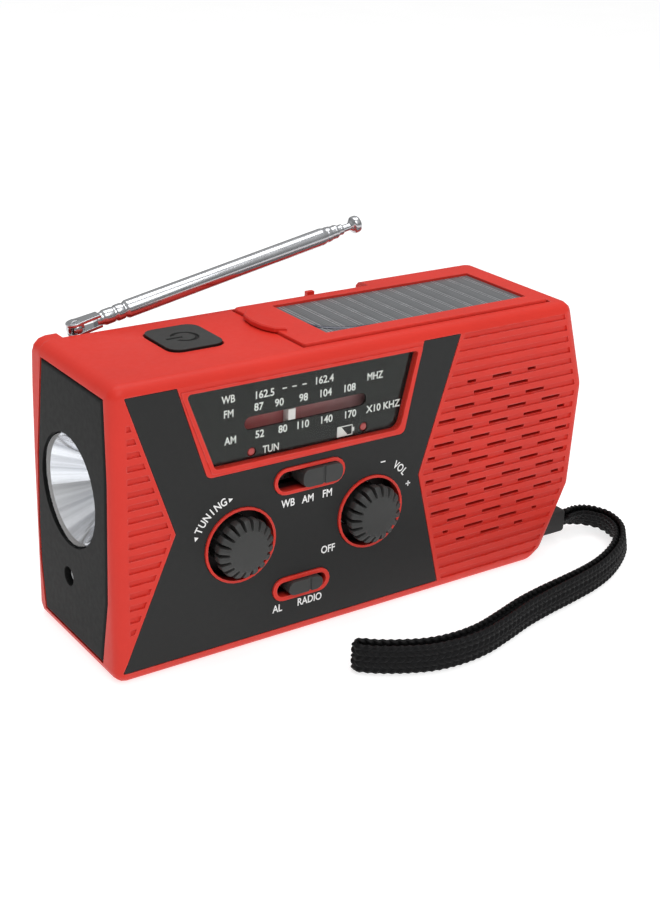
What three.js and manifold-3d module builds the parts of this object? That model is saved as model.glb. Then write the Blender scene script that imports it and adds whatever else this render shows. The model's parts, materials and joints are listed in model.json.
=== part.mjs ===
// Hand-crank emergency radio with a solar lid, an end torch, a telescopic antenna and a wrist strap.
// Millimetres. +X runs along the case to its pointed end, +Y to the rear, +Z up. The origin is on the base.
import * as THREE from 'three';
import { mergeVertices } from 'three/addons/utils/BufferGeometryUtils.js';
import Module from 'manifold-3d';

const wasm = await Module();
wasm.setup();

const radio = new THREE.Group();
const GAP = 0.3;
const RED = 0xdc4a42;
const DARK = 0x3a3b3a;
const GREY = 0x545553;

// ---- Outlines -------------------------------------------------------------------------------------

function rounded(points, radii, steps = 4) {
  const out = [];
  points.forEach((corner, i) => {
    const here = new THREE.Vector2(...corner);
    const before = new THREE.Vector2(...points.at(i - 1)).sub(here).normalize();
    const after = new THREE.Vector2(...points[(i + 1) % points.length]).sub(here).normalize();
    const r = Array.isArray(radii) ? radii[i] : radii;
    const half = before.angleTo(after) / 2;
    const centre = before.clone().add(after).normalize().multiplyScalar(r / Math.sin(half)).add(here);
    const from = before.multiplyScalar(r / Math.tan(half)).add(here).sub(centre);
    const to = after.multiplyScalar(r / Math.tan(half)).add(here).sub(centre);
    const turn = Math.atan2(from.cross(to), from.dot(to));
    for (let k = 0; k <= steps; k += 1) {
      const p = from.clone().rotateAround(new THREE.Vector2(), (turn * k) / steps).add(centre);
      out.push([p.x, p.y]);
    }
  });
  return out;
}

function rectangle(x0, x1, y0, y1) {
  return [[x0, y0], [x1, y0], [x1, y1], [x0, y1]];
}

function stadium(x, y, length, width, steps = 8) {
  const r = width / 2;
  const box = rectangle(x - length / 2, x + length / 2, y - r, y + r);
  return rounded(box, r * 0.999, steps / 2);
}

// Moves every side of a counterclockwise polygon inwards.
function inset(points, d) {
  return points.map((corner, i) => {
    const here = new THREE.Vector2(...corner);
    const a = here.clone().sub(new THREE.Vector2(...points.at(i - 1))).normalize();
    const b = new THREE.Vector2(...points[(i + 1) % points.length]).sub(here).normalize();
    const normal = new THREE.Vector2(-a.y - b.y, a.x + b.x).normalize();
    const reach = d / (normal.x * -a.y + normal.y * a.x);
    return [here.x + normal.x * reach, here.y + normal.y * reach];
  });
}

// ---- Solids ---------------------------------------------------------------------------------------

function solid(geometry) {
  const bare = geometry.clone();
  bare.deleteAttribute('normal');
  bare.deleteAttribute('uv');
  const merged = mergeVertices(bare, 1e-4);
  return new wasm.Manifold(new wasm.Mesh({
    numProp: 3,
    vertProperties: new Float32Array(merged.attributes.position.array),
    triVerts: new Uint32Array(merged.index.array),
  }));
}

function extrusion(points, depth, bevel, segments) {
  const shape = new THREE.Shape(points.map(([x, y]) => new THREE.Vector2(x, y)));
  const geometry = new THREE.ExtrudeGeometry(shape, {
    depth: depth - 2 * bevel,
    steps: 1,
    bevelEnabled: bevel > 0,
    bevelSize: bevel,
    bevelThickness: bevel,
    bevelOffset: -bevel,
    bevelSegments: segments,
  });
  return geometry.translate(0, 0, bevel);
}

// The outline is in X and Z, or Y and Z, or X and Y; the solid runs along the third axis.
function alongY(points, y0, y1, bevel = 0, segments = 3) {
  return solid(extrusion(points, y1 - y0, bevel, segments).rotateX(Math.PI / 2).translate(0, y1, 0));
}

function alongX(points, x0, x1, bevel = 0, segments = 2) {
  const axes = new THREE.Matrix4().makeBasis(
    new THREE.Vector3(0, 1, 0),
    new THREE.Vector3(0, 0, 1),
    new THREE.Vector3(1, 0, 0),
  );
  return solid(extrusion(points, x1 - x0, bevel, segments).applyMatrix4(axes).translate(x0, 0, 0));
}

function alongZ(points, z0, z1, bevel = 0, segments = 2) {
  return solid(extrusion(points, z1 - z0, bevel, segments).translate(0, 0, z0));
}

function block(x0, x1, y0, y1, z0, z1) {
  const geometry = new THREE.BoxGeometry(x1 - x0, y1 - y0, z1 - z0);
  return solid(geometry.translate((x0 + x1) / 2, (y0 + y1) / 2, (z0 + z1) / 2));
}

function rodX(y, z, r, x0, x1, sides = 24) {
  const geometry = new THREE.CylinderGeometry(r, r, x1 - x0, sides).rotateZ(-Math.PI / 2);
  return solid(geometry.translate((x0 + x1) / 2, y, z));
}

function rodY(x, z, r, y0, y1, sides = 24) {
  const geometry = new THREE.CylinderGeometry(r, r, y1 - y0, sides);
  return solid(geometry.translate(x, (y0 + y1) / 2, z));
}

function rodZ(x, y, r, z0, z1, sides = 24) {
  const geometry = new THREE.CylinderGeometry(r, r, z1 - z0, sides).rotateX(Math.PI / 2);
  return solid(geometry.translate(x, y, (z0 + z1) / 2));
}

// A profile of [radius, height] that starts and ends on the axis or closes on itself, turned about +Y.
function turned(profile, sides = 32) {
  return new THREE.LatheGeometry(profile.map(([r, h]) => new THREE.Vector2(r, h)), sides);
}

function join(...solids) {
  return solids.reduce((a, b) => a.add(b));
}

function cut(whole, ...tools) {
  return tools.reduce((a, b) => a.subtract(b), whole);
}

function add(name, shape, color, roughness = 0.5, metalness = 0, opacity = 1) {
  const { vertProperties, triVerts } = shape.getMesh();
  const geometry = new THREE.BufferGeometry();
  geometry.setAttribute('position', new THREE.BufferAttribute(vertProperties, 3));
  geometry.setIndex(new THREE.BufferAttribute(triVerts, 1));
  geometry.computeVertexNormals();
  const material = new THREE.MeshStandardMaterial({ color, roughness, metalness });
  material.transparent = opacity < 1;
  material.opacity = opacity;
  const mesh = new THREE.Mesh(geometry, material);
  mesh.name = name;
  radio.add(mesh);
}

// ---- Driving dimensions ---------------------------------------------------------------------------

const LEFT = -75;
const FRONT = -22.4;
const REAR = 24.4;
const SEAM = 17;
const TOP = 78.8;
const WALL = 2.2;
const EDGE = 2.9;

const CASE = [[LEFT, 0], [60.6, 0], [64.8, 2.9], [73.6, 22.6], [75, 53.4], [67.6, TOP], [LEFT, TOP]];
const CASE_RADII = [3.2, 4.5, 4.5, 5, 6, 3.4, 3.6];
const INSIDE = inset(CASE, WALL);

const PANEL_DEPTH = 0.9;
const PANEL_FACE = FRONT + 0.08;
const PANEL = [
  [-73, 3.2], [25.1, 3.2], [16.2, 37.7], [27.8, 75.8], [15.7, 75.8], [10.7, 50.8],
  [-49.4, 50.8], [-57.7, 75.8], [-71.3, 75.8], [-58.1, 38.1],
];
const PANEL_RADII = [0.3, 0.3, 0.3, 0.3, 0.3, 1.8, 1.8, 0.3, 0.3, 0.3];
const WINDOW = [[-47.3, 52.9], [8.9, 52.5], [13.8, 73.7], [-55.3, 73.9]];
const WINDOW_RADII = [1.4, 2.6, 0.9, 0.9];
const WINDOW_RIM = { wide: 1.15, proud: 0.3 };

const TUNING = { x: -39.7, z: 30.6 };
const VOLUME = { x: 0.5, z: 30.6 };
const KNOB_R = 8.5;
const CUP = { outer: 10.35, inner: 9.7, back: -15.2, floor: 0.9, shaft: 6.6 };
const BAND = { x: -19.2, z: 45.2, length: 21.6, width: 7.3, rim: 0.9 };
const MODE = { x: -21, z: 14.5, length: 17.7, width: 6.6, rim: 1.15 };
const RIM_PROUD = 0.35;

const TORCH = { y: 2.1, z: 44.2, r: 15 };
const END_LAMP = { y: 3.5, z: 19.7, r: 2.6 };
const END_PANEL = [
  [-14.6, 3.2], [19.2, 3.2], [21.1, 17], [21.3, 28], [20, 48], [15.9, 75], [-18.5, 75], [-19.3, 54],
  [-18.2, 21.7],
];

const BUTTON = { x0: -50.4, x1: -34.9, y0: -7.3, y1: 10.1, r: 3.4 };
const LID = { x0: -19.6, x1: 61.4, y0: -18.6, y1: 15.9, z0: 76.6, z1: 79.7 };
const POCKET_Z = 76.1;
const CELL = { x0: -9.6, x1: 57.4, y0: -13.9, y1: 12.1, z: 79.1, thick: 0.9 };

const CHANNEL = { x0: -66.4, x1: 26.4, z: 73.6 };
const PIVOT = new THREE.Vector3(-63.1, 20.5, 79.4);
const TILT = THREE.MathUtils.degToRad(11.1);

const CRANK = { x: 22, z: 38 };
const DOOR = { x0: -60, x1: -21, z0: 8, z1: 34 };
const ANCHOR = { x0: 64.2, x1: 78.1, y0: -17.2, y1: -9.8, z0: 3.6, z1: 10.8 };
const PORT = { y0: -7, y1: 9, z0: 27, z1: 51 };

// ---- Front shell ----------------------------------------------------------------------------------

const ROWS = 22;
const ROW_TOP = 74.9;
const ROW_PITCH = 3.37;
const GROOVE = { height: 1.6, depth: 0.5 };
const SPEAKER = { x: 44.5, z: 38.6 };
const SLOT = {
  length: 6.8, pitch: 12.6, height: 0.85, shortest: 1.8, round: { x: 43.9, z: 37.8, r: 26.6 },
};

// Where a polygon's sides cross a height, left to right.
function crossings(points, z) {
  const found = [];
  points.forEach(([x1, z1], i) => {
    const [x0, z0] = points.at(i - 1);
    if ((z0 - z) * (z1 - z) < 0) found.push(x0 + ((x1 - x0) * (z - z0)) / (z1 - z0));
  });
  return found.sort((a, b) => a - b);
}

// The two ends of a groove at a height, left of the panel and right of it.
function grooveEnds(z) {
  const across = crossings(PANEL, z);
  return {
    left: [LEFT + 3.9, across[0] - 1.3],
    right: [across.at(-1) + 1.5, crossings(CASE, z).at(-1) - 3.6],
  };
}

function grooveCuts() {
  const cuts = [];
  for (let row = 0; row < ROWS; row += 1) {
    const z = ROW_TOP - row * ROW_PITCH;
    const low = grooveEnds(z - GROOVE.height / 2);
    const high = grooveEnds(z + GROOVE.height / 2);
    for (const side of ['left', 'right']) {
      const outline = [
        [low[side][0], z - GROOVE.height / 2], [low[side][1], z - GROOVE.height / 2],
        [high[side][1], z + GROOVE.height / 2], [high[side][0], z + GROOVE.height / 2],
      ];
      const shortest = Math.min(low[side][1] - low[side][0], high[side][1] - high[side][0]);
      if (shortest > 0.4) cuts.push(alongY(outline, FRONT - 1, FRONT + GROOVE.depth));
    }
    cuts.push(...slotCuts(row, z, grooveEnds(z).right));
  }
  return cuts;
}

function slotCuts(row, z, [low, high]) {
  const { x, z: middle, r } = SLOT.round;
  const half = Math.sqrt(Math.max(0, r ** 2 - (z - middle) ** 2));
  const shift = row % 2 ? SLOT.pitch / 2 : 0;
  const cuts = [];
  for (let k = -4; k <= 4; k += 1) {
    const start = x + k * SLOT.pitch + shift - SLOT.length / 2;
    const x0 = Math.max(start, x - half, low + 0.8);
    const x1 = Math.min(start + SLOT.length, x + half, high - 0.8);
    if (x1 - x0 > SLOT.shortest) {
      cuts.push(block(x0, x1, FRONT - 1, FRONT + WALL + 1, z - SLOT.height / 2, z + SLOT.height / 2));
    }
  }
  return cuts;
}

function knobCup({ x, z }) {
  return {
    wall: rodY(x, z, CUP.outer, FRONT - RIM_PROUD, CUP.back, 32),
    hole: join(
      rodY(x, z, CUP.inner, FRONT - 2, CUP.back - CUP.floor, 32),
      rodY(x, z, CUP.shaft, FRONT, CUP.back + 1, 32),
    ),
  };
}

function sliderCup({ x, z, length, width, rim }) {
  return {
    wall: alongY(stadium(x, z, length, width), FRONT - RIM_PROUD, -17.6),
    hole: alongY(stadium(x, z, length - 2 * rim, width - 2 * rim), FRONT - 2, -16),
  };
}

const cups = [knobCup(TUNING), knobCup(VOLUME), sliderCup(BAND), sliderCup(MODE)];

const BOSSES = [[-67.6, 8.2], [-67.6, 66], [61.4, 10.2], [66.2, 66.8]];
const SCREW = { head: 2.7, shank: 1.25, seat: 19.6 };

function caseBody(y0, y1) {
  return alongY(rounded(CASE, CASE_RADII, 3), y0, y1, EDGE, 3);
}

function endPocket() {
  return alongX(inset(END_PANEL, -0.2), LEFT - 1, LEFT + WALL + 1);
}

function windowRim() {
  return alongY(rounded(inset(WINDOW, -WINDOW_RIM.wide), WINDOW_RADII), FRONT - WINDOW_RIM.proud, FRONT + 1)
    .subtract(block(-90, 90, FRONT - 2, FRONT + 2, 74.6, 90));
}

function frontShell() {
  const outside = caseBody(FRONT, SEAM + 10).subtract(block(-90, 90, SEAM, SEAM + 20, -5, 90));
  const room = alongY(rounded(INSIDE, 1.4, 2), FRONT + WALL, SEAM + 2);
  const underLid = block(LID.x0 - 3, 66, FRONT + 1, SEAM, POCKET_Z - 2, TOP - 1);
  const pocket = block(LID.x0 - GAP, LID.x1 + 0.9, LID.y0 - GAP, LID.y1 + GAP, POCKET_Z, TOP + 5);
  const buttonBox = rounded(
    rectangle(BUTTON.x0 - GAP, BUTTON.x1 + GAP, BUTTON.y0 - GAP, BUTTON.y1 + GAP),
    BUTTON.r,
  );
  const bosses = BOSSES.flatMap(([x, z]) => [
    rodY(x, z, 4, 6, SEAM - 0.05, 12),
    block(x - 1, x + 1, 6, SEAM - 0.05, z > 40 ? z : 0, z > 40 ? TOP : z),
  ]);
  const bossHoles = BOSSES.map(([x, z]) => rodY(x, z, SCREW.shank + 0.1, 8, SEAM + 1, 12));
  const keep = alongY(rounded(inset(CASE, 1), 1.4, 2), FRONT + 1, SEAM);
  const channelWall = block(
    CHANNEL.x0 - 3, CHANNEL.x1 + 2, SEAM - 1.8, SEAM - 0.05, CHANNEL.z - 1.8, TOP - 1,
  );
  const inner = bosses.map((boss) => boss.intersect(keep));
  const walls = join(outside.subtract(room), underLid, channelWall, ...inner);
  return cut(
    join(
      cut(walls, alongY(rounded(inset(PANEL, -0.15), PANEL_RADII), FRONT - 1, FRONT + PANEL_DEPTH)),
      windowRim(),
      ...cups.map((c) => c.wall),
    ),
    ...cups.map((c) => c.hole),
    ...bossHoles,
    ...grooveCuts(),
    pocket,
    block(-6, 48, -8, 6, POCKET_Z - 5, POCKET_Z + 1),
    alongY(rounded(WINDOW, WINDOW_RADII), FRONT - 1, FRONT + WALL + 1),
    alongZ(buttonBox, TOP - 5, TOP + 1),
    endPocket(),
    block(63, 82, ANCHOR.y0 - 0.15, ANCHOR.y1 + 0.15, ANCHOR.z0 - 0.15, ANCHOR.z1 + 0.15),
    block(70, 80, PORT.y0 - 0.2, PORT.y1 + 0.2, PORT.z0 - 0.2, PORT.z1 + 0.2),
  );
}

add('front_shell', frontShell(), RED, 0.5);

// ---- Rear cover -----------------------------------------------------------------------------------

const PEG = { x0: 8.9, x1: 11.3, y0: 22.8, y1: 24.2, z: 78 };

// The space behind the plane that leans in towards the rear's upper left corner.
function behindLean(depth) {
  const corners = [[LEFT, 20.6, TOP], [40, REAR, TOP], [LEFT, REAR, 26]].map((p) => new THREE.Vector3(...p));
  const plane = new THREE.Plane().setFromCoplanarPoints(...corners);
  if (plane.normal.y < 0) plane.negate();
  const turn = new THREE.Quaternion().setFromUnitVectors(new THREE.Vector3(0, 0, 1), plane.normal);
  const space = new THREE.BoxGeometry(400, 400, 60).translate(0, 0, 30 - depth).applyQuaternion(turn);
  const at = plane.coplanarPoint(new THREE.Vector3());
  return solid(space.translate(at.x, at.y, at.z));
}

function rearCover() {
  const body = caseBody(SEAM - 12, REAR).subtract(block(-90, 90, SEAM - 20, SEAM + 0.05, -5, 90));
  const outside = body.subtract(behindLean(0));
  const room = alongY(rounded(INSIDE, 1.4, 2), SEAM - 2, REAR - WALL).subtract(behindLean(WALL));
  const channelEnd = [[CHANNEL.x0 - 2.2, TOP + 1], [CHANNEL.x0, CHANNEL.z], [CHANNEL.x1, CHANNEL.z],
    [CHANNEL.x1, TOP + 1]];
  const channelFloor = block(CHANNEL.x0 - 3, CHANNEL.x1 + 2, SEAM + 0.05, REAR - 1, CHANNEL.z - 1.8, TOP - 1);
  const sockets = BOSSES.map(([x, z]) => rodY(x, z, 4.2, SEAM + 0.05, REAR - 1, 16));
  const heads = BOSSES.map(([x, z]) => rodY(x, z, SCREW.head + 0.3, SCREW.seat, REAR + 1, 16));
  const shanks = BOSSES.map(([x, z]) => rodY(x, z, SCREW.shank + 0.15, SEAM - 1, REAR, 12));
  const bearing = rodY(CRANK.x, CRANK.z, 6, SEAM + 0.05, REAR - 1, 24);
  const keep = alongY(rounded(inset(CASE, 1), 1.4, 2), SEAM, REAR - 0.5);
  const seats = sockets.map((socket) => socket.intersect(keep).subtract(behindLean(0.5)));
  const frame = join(outside.subtract(room), channelFloor, bearing, ...seats);
  const peg = block(PEG.x0, PEG.x1, PEG.y0, PEG.y1, CHANNEL.z - 1, PEG.z);
  return join(cut(
    frame,
    endPocket(),
    alongY(channelEnd, SEAM - 1, REAR + 1),
    ...heads,
    ...shanks,
    rodY(CRANK.x, CRANK.z, 3.15, SEAM - 1, REAR + 1, 24),
    rodZ(PIVOT.x, PIVOT.y, 2.35, CHANNEL.z - 5, CHANNEL.z + 1, 24),
    block(DOOR.x0 - 0.25, DOOR.x1 + 0.25, REAR - 1.2, REAR + 1, DOOR.z0 - 0.25, DOOR.z1 + 0.25),
    block(DOOR.x0 - 0.25, DOOR.x1 + 0.25, REAR - 1.6, REAR + 1, DOOR.z0 - 0.35, DOOR.z0 + 2.1),
    block(DOOR.x0 + 2, DOOR.x1 - 2, SEAM, REAR + 1, DOOR.z0 + 2, DOOR.z1 - 2),
  ), peg);
}

add('rear_cover', rearCover(), RED, 0.5);

BOSSES.forEach(([x, z], i) => {
  const head = rodY(x, z, SCREW.head, SCREW.seat, SCREW.seat + 1.6, 16);
  const shank = rodY(x, z, SCREW.shank, 9, SCREW.seat + 0.5, 8);
  const drive = block(x - 1.6, x + 1.6, SCREW.seat + 0.9, REAR, z - 0.35, z + 0.35);
  add(`screw_${i + 1}`, join(head, shank).subtract(drive), 0x8a8d90, 0.35, 0.9);
});

// ---- Front panel, dial and lamps ------------------------------------------------------------------

function frontPanel() {
  const plate = alongY(rounded(PANEL, PANEL_RADII), PANEL_FACE, FRONT + PANEL_DEPTH);
  const holes = [TUNING, VOLUME].map(({ x, z }) => rodY(x, z, CUP.outer + 0.12, FRONT - 1, FRONT + 3, 32));
  const slots = [BAND, MODE].map(({ x, z, length, width }) => (
    alongY(stadium(x, z, length + 0.24, width + 0.24), FRONT - 1, FRONT + 3)
  ));
  return cut(plate, ...holes, ...slots, windowRim());
}

add('front_panel', frontPanel(), DARK, 0.62);

const SCALE_Y = FRONT + 1.5;
const TRACK = { x: -19.6, z: 62.5, length: 36.8, width: 3.4 };
const LAMPS = { tune_lamp: [-35.8, 54.7], charge_lamp: [-1.7, 54.7] };
const POINTER = { x0: -25.1, x1: -22.9 };

add(
  'dial_window',
  alongY(rounded(inset(WINDOW, 0.1), WINDOW_RADII), FRONT + 0.1, FRONT + 1.3),
  0x20211f,
  0.05,
  0,
  0.35,
);
add(
  'dial_scale',
  cut(
    alongY(rounded(inset(WINDOW, 0.15), WINDOW_RADII), SCALE_Y, SCALE_Y + 0.8),
    alongY(stadium(TRACK.x, TRACK.z, TRACK.length, TRACK.width), SCALE_Y - 1, SCALE_Y + 2),
    ...Object.values(LAMPS).map(([x, z]) => rodY(x, z, 1.25, SCALE_Y - 1, SCALE_Y + 2, 16)),
  ),
  0x242523,
  0.4,
);
add(
  'dial_backing',
  block(TRACK.x - 20, TRACK.x + 20, SCALE_Y + 2.9, SCALE_Y + 3.7, TRACK.z - 3, TRACK.z + 3),
  0xa03a3c,
  0.45,
);
add(
  'dial_pointer',
  join(
    block(POINTER.x0, POINTER.x1, SCALE_Y + 0.15, SCALE_Y + 2.1, TRACK.z - 1.5, TRACK.z + 1.5),
    block(POINTER.x0, POINTER.x1, SCALE_Y + 1.1, SCALE_Y + 2.6, TRACK.z - 2.8, TRACK.z + 2.8),
  ),
  0xf2f2ee,
  0.4,
);
for (const [name, [x, z]] of Object.entries(LAMPS)) {
  add(
    name,
    join(rodY(x, z, 1.05, SCALE_Y + 0.1, SCALE_Y + 3, 16), rodY(x, z, 1.7, SCALE_Y + 1.2, SCALE_Y + 4.4, 16)),
    0xc23b38,
    0.25,
  );
}

// ---- Knobs and sliders ----------------------------------------------------------------------------

const FLUTES = 18;
const KNOB_FACE = FRONT - 4.4;
const KNOB_BACK = -15.6;

function knob({ x, z }) {
  const high = KNOB_BACK - KNOB_FACE;
  const profile = [
    [0, 0], [6, 0], [6, high - 4.4], [KNOB_R, high - 4], [KNOB_R, high - 1.4], [6.2, high], [0, high],
  ];
  const body = solid(turned(profile, 36).rotateX(Math.PI).translate(x, KNOB_BACK, z));
  const flutes = Array.from({ length: FLUTES }, (_, i) => {
    const notch = new THREE.BoxGeometry(2.4, 20, 1).translate(8, 0, 0);
    return solid(notch.rotateY((2 * Math.PI * (i + 0.5)) / FLUTES).translate(x, KNOB_FACE, z));
  });
  return cut(body, ...flutes, rodY(x, z, 2, KNOB_BACK - 4, KNOB_BACK + 1, 16));
}

add('tuning_knob', knob(TUNING), GREY, 0.55);
add('volume_knob', knob(VOLUME), GREY, 0.55);

function slider(z, x0, x1, high, groove) {
  const cap = alongY(rounded(rectangle(x0, x1, z - high / 2, z + high / 2), 1.9, 3), FRONT - 1.5, -18);
  return cut(cap, block(groove - 0.35, groove + 0.35, FRONT - 3, FRONT - 1, z - 5, z + 5));
}

add('band_slider', slider(BAND.z, -22, -9.7, BAND.width - 2 * BAND.rim - 0.5, -15.5), GREY, 0.55);
add('mode_slider', slider(MODE.z, -25.6, -14.9, MODE.width - 2 * MODE.rim - 0.4, -18.8), GREY, 0.55);

// ---- Circuit board and what is on it --------------------------------------------------------------

const BOARD = { y0: -9, y1: -7.4 };
const METAL = 0xb4b7ba;

add('main_board', block(-54, 12, BOARD.y0, BOARD.y1, 5, 56), 0x2f6b43, 0.5);
add(
  'tuning_capacitor',
  join(block(-49, -31, -14.4, BOARD.y0 - 0.05, 22, 40), rodY(TUNING.x, TUNING.z, 1.7, -19, -14, 16)),
  0xd8d8d0,
  0.5,
);
add(
  'volume_control',
  join(rodY(VOLUME.x, VOLUME.z, 8, -14.4, BOARD.y0 - 0.05, 24), rodY(VOLUME.x, VOLUME.z, 1.7, -19, -14, 16)),
  METAL,
  0.35,
  0.9,
);
add('band_switch', block(-30, -8, -15.6, BOARD.y0 - 0.05, 42.4, 48), METAL, 0.35, 0.9);
add('mode_switch', block(-29, -13, -15.6, BOARD.y0 - 0.05, 12, 17), METAL, 0.35, 0.9);

// ---- Speaker --------------------------------------------------------------------------------------

function speakerFrame() {
  const y = FRONT + WALL + 0.1;
  const profile = [[20.5, 0], [24, 0], [24, 1.6], [21.5, 1.6], [11, 9], [11, 11], [0, 11], [0, 9.6], [9, 9.6],
    [20.5, 1.4], [20.5, 0]];
  return solid(turned(profile, 32).translate(SPEAKER.x, y, SPEAKER.z));
}

add('speaker_frame', speakerFrame(), 0x6f7274, 0.4, 0.8);
add(
  'speaker_cone',
  solid(turned([
    [0, 5.2], [3.6, 4.4], [5, 5.4], [17, 0.6], [20.2, 0.4], [20.2, 0.8], [17, 1.1], [5, 7], [0, 7],
  ], 32).translate(SPEAKER.x, FRONT + WALL + 0.1, SPEAKER.z)),
  0x2b2b2a,
  0.8,
);
add('speaker_magnet', rodY(SPEAKER.x, SPEAKER.z, 12, -9.1, -2.5, 32), 0x55585a, 0.4, 0.8);

// ---- End torch ------------------------------------------------------------------------------------

const END_FACE = LEFT - 0.15;

function endPanel() {
  const plate = alongX(END_PANEL, END_FACE, LEFT + 2.4, 0, 1);
  const bevelled = alongX(END_PANEL, END_FACE, LEFT + 20, 1.1, 2).intersect(plate);
  const cup = rodX(TORCH.y, TORCH.z, TORCH.r + 1.6, LEFT + 2.3, LEFT + 7.5, 36);
  return cut(
    join(bevelled, cup),
    rodX(TORCH.y, TORCH.z, TORCH.r, LEFT - 2, LEFT + 9, 36),
    rodX(END_LAMP.y, END_LAMP.z, END_LAMP.r, LEFT - 2, LEFT + 9, 20),
  );
}

add('end_panel', endPanel(), DARK, 0.6);
add(
  'torch_reflector',
  solid(turned([
    [4.2, 0], [5.2, 0], [10.2, 5], [14.2, 11.4], [14.7, 11.4], [14.7, 12.2], [13.6, 12.2], [9.4, 5.4],
    [4.2, 0.8], [4.2, 0],
  ], 24).rotateZ(Math.PI / 2).translate(LEFT + 13.6, TORCH.y, TORCH.z)),
  0xe2e4e8,
  0.12,
  1,
);
add('torch_lens', rodX(TORCH.y, TORCH.z, 14.6, LEFT + 0.3, LEFT + 1.2, 36), 0xf4f7fa, 0.04, 0, 0.3);
add(
  'torch_board',
  join(
    block(LEFT + 13.8, LEFT + 15.4, TORCH.y - 10, TORCH.y + 10, TORCH.z - 10, TORCH.z + 10),
    block(LEFT + 12.6, LEFT + 14, TORCH.y - 2.5, TORCH.y + 2.5, TORCH.z - 2.5, TORCH.z + 2.5),
  ),
  0xe9e6c8,
  0.4,
);
add(
  'end_lamp',
  join(
    rodX(END_LAMP.y, END_LAMP.z, END_LAMP.r - 0.25, LEFT + 0.5, LEFT + 4, 16),
    rodX(END_LAMP.y, END_LAMP.z, END_LAMP.r + 0.8, LEFT + 2.6, LEFT + 5, 16),
  ),
  0xc9ccd0,
  0.15,
);

// ---- Power button ---------------------------------------------------------------------------------

function powerButton() {
  const { x0, x1, y0, y1, r } = BUTTON;
  const cap = alongZ(rounded(rectangle(x0, x1, y0, y1), r), TOP - 3.6, TOP + 0.7);
  const skirt = alongZ(rounded(rectangle(x0 - 1, x1 + 1, y0 - 1, y1 + 1), r), TOP - 4.6, TOP - 3.5);
  const [cx, cy] = [(x0 + x1) / 2 + 0.4, (y0 + y1) / 2];
  const ring = rodZ(cx, cy, 3.7, TOP + 0.35, TOP + 2, 32).subtract(rodZ(cx, cy, 2.7, TOP, TOP + 3, 32));
  const open = block(cx - 5, cx, cy - 1.6, cy + 1.6, TOP, TOP + 3);
  const bar = block(cx - 5.2, cx - 0.6, cy - 0.5, cy + 0.5, TOP + 0.35, TOP + 2);
  return cut(join(cap, skirt), ring.subtract(open), bar);
}

add('power_button', powerButton(), GREY, 0.6);
add('power_switch', join(
  block(-46, -39.4, -2, 4.6, 66.4, 72.2),
  rodZ(-42.7, 1.3, 1.6, 72, 73.1, 16),
), 0x26282a, 0.4);
add('switch_board', block(-52, -32, -6, 9, 64.8, 66.35), 0x2f6b43, 0.5);

// ---- Solar lid and reading lamp -------------------------------------------------------------------

function solarLid() {
  const { x0, x1, y0, y1, z0, z1 } = LID;
  const plate = alongZ(rounded(rectangle(x0, x1, y0, y1), [1.5, 0.8, 0.8, 1.5], 3), z0, z1, 0.4, 2);
  const well = block(CELL.x0, CELL.x1, CELL.y0, CELL.y1, CELL.z - CELL.thick - 0.05, z1 + 1);
  const hollow = block(x0 + 2, x1 - 3, y0 + 2, y1 - 2, z0 - 1, z0 + 0.25);
  const lip = [[x0 + 2, -8], [x0 - 0.9, -6], [x0 - 2.4, -2.5], [x0 - 2.8, 2], [x0 - 2, 7], [x0 + 2, 11.5]];
  const tab = alongZ(lip.reverse(), TOP + 0.2, z1 + 0.9, 0.35, 1);
  return join(cut(plate, well, hollow), tab);
}

add('solar_lid', solarLid(), RED, 0.5);
add(
  'solar_cell',
  block(CELL.x0 + 0.15, CELL.x1 - 0.15, CELL.y0 + 0.15, CELL.y1 - 0.15, CELL.z - CELL.thick, CELL.z),
  0x6d7074,
  0.3,
);
add('lamp_cover', block(-5.8, 47.8, -7.8, 5.8, POCKET_Z - 1.9, POCKET_Z - 0.2), 0xf1f2ee, 0.3);
add('lamp_board', block(-5.8, 47.8, -7.8, 5.8, POCKET_Z - 4, POCKET_Z - 2.4), 0xe9e6c8, 0.5);

// ---- Antenna --------------------------------------------------------------------------------------

function onAntenna(geometry) {
  const placed = geometry.rotateZ(-Math.PI / 2).rotateY(-TILT);
  return solid(placed.translate(PIVOT.x, PIVOT.y, PIVOT.z));
}

function antennaRod(r, from, to, sides = 16) {
  return onAntenna(new THREE.CylinderGeometry(r, r, to - from, sides).translate(0, (from + to) / 2, 0));
}

function antennaBlock(from, to, y0, y1, high) {
  const geometry = new THREE.BoxGeometry(to - from, y1 - y0, high);
  const placed = geometry.translate((from + to) / 2, (y0 + y1) / 2, 0).rotateY(-TILT);
  return solid(placed.translate(PIVOT.x, PIVOT.y, PIVOT.z));
}

const POST = { lug: 0.75, gap: 0.15, ear: 0.9, disc: 2.3, pin: 0.9 };

function antennaPost() {
  const base = rodZ(PIVOT.x, PIVOT.y, 2.2, CHANNEL.z - 3.4, 75.6, 24);
  const flange = rodZ(PIVOT.x, PIVOT.y, 2.9, CHANNEL.z + 0.15, CHANNEL.z + 1, 24);
  const neck = block(PIVOT.x - 1.7, PIVOT.x + 1.7, PIVOT.y - POST.lug, PIVOT.y + POST.lug, 75, PIVOT.z);
  const lug = rodY(PIVOT.x, PIVOT.z, POST.disc, PIVOT.y - POST.lug, PIVOT.y + POST.lug, 24);
  return join(base, flange, neck, lug).subtract(rodY(PIVOT.x, PIVOT.z, POST.pin + 0.08, 10, 30, 24));
}

add('antenna_post', antennaPost(), 0xd4d7da, 0.2, 1);

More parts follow.
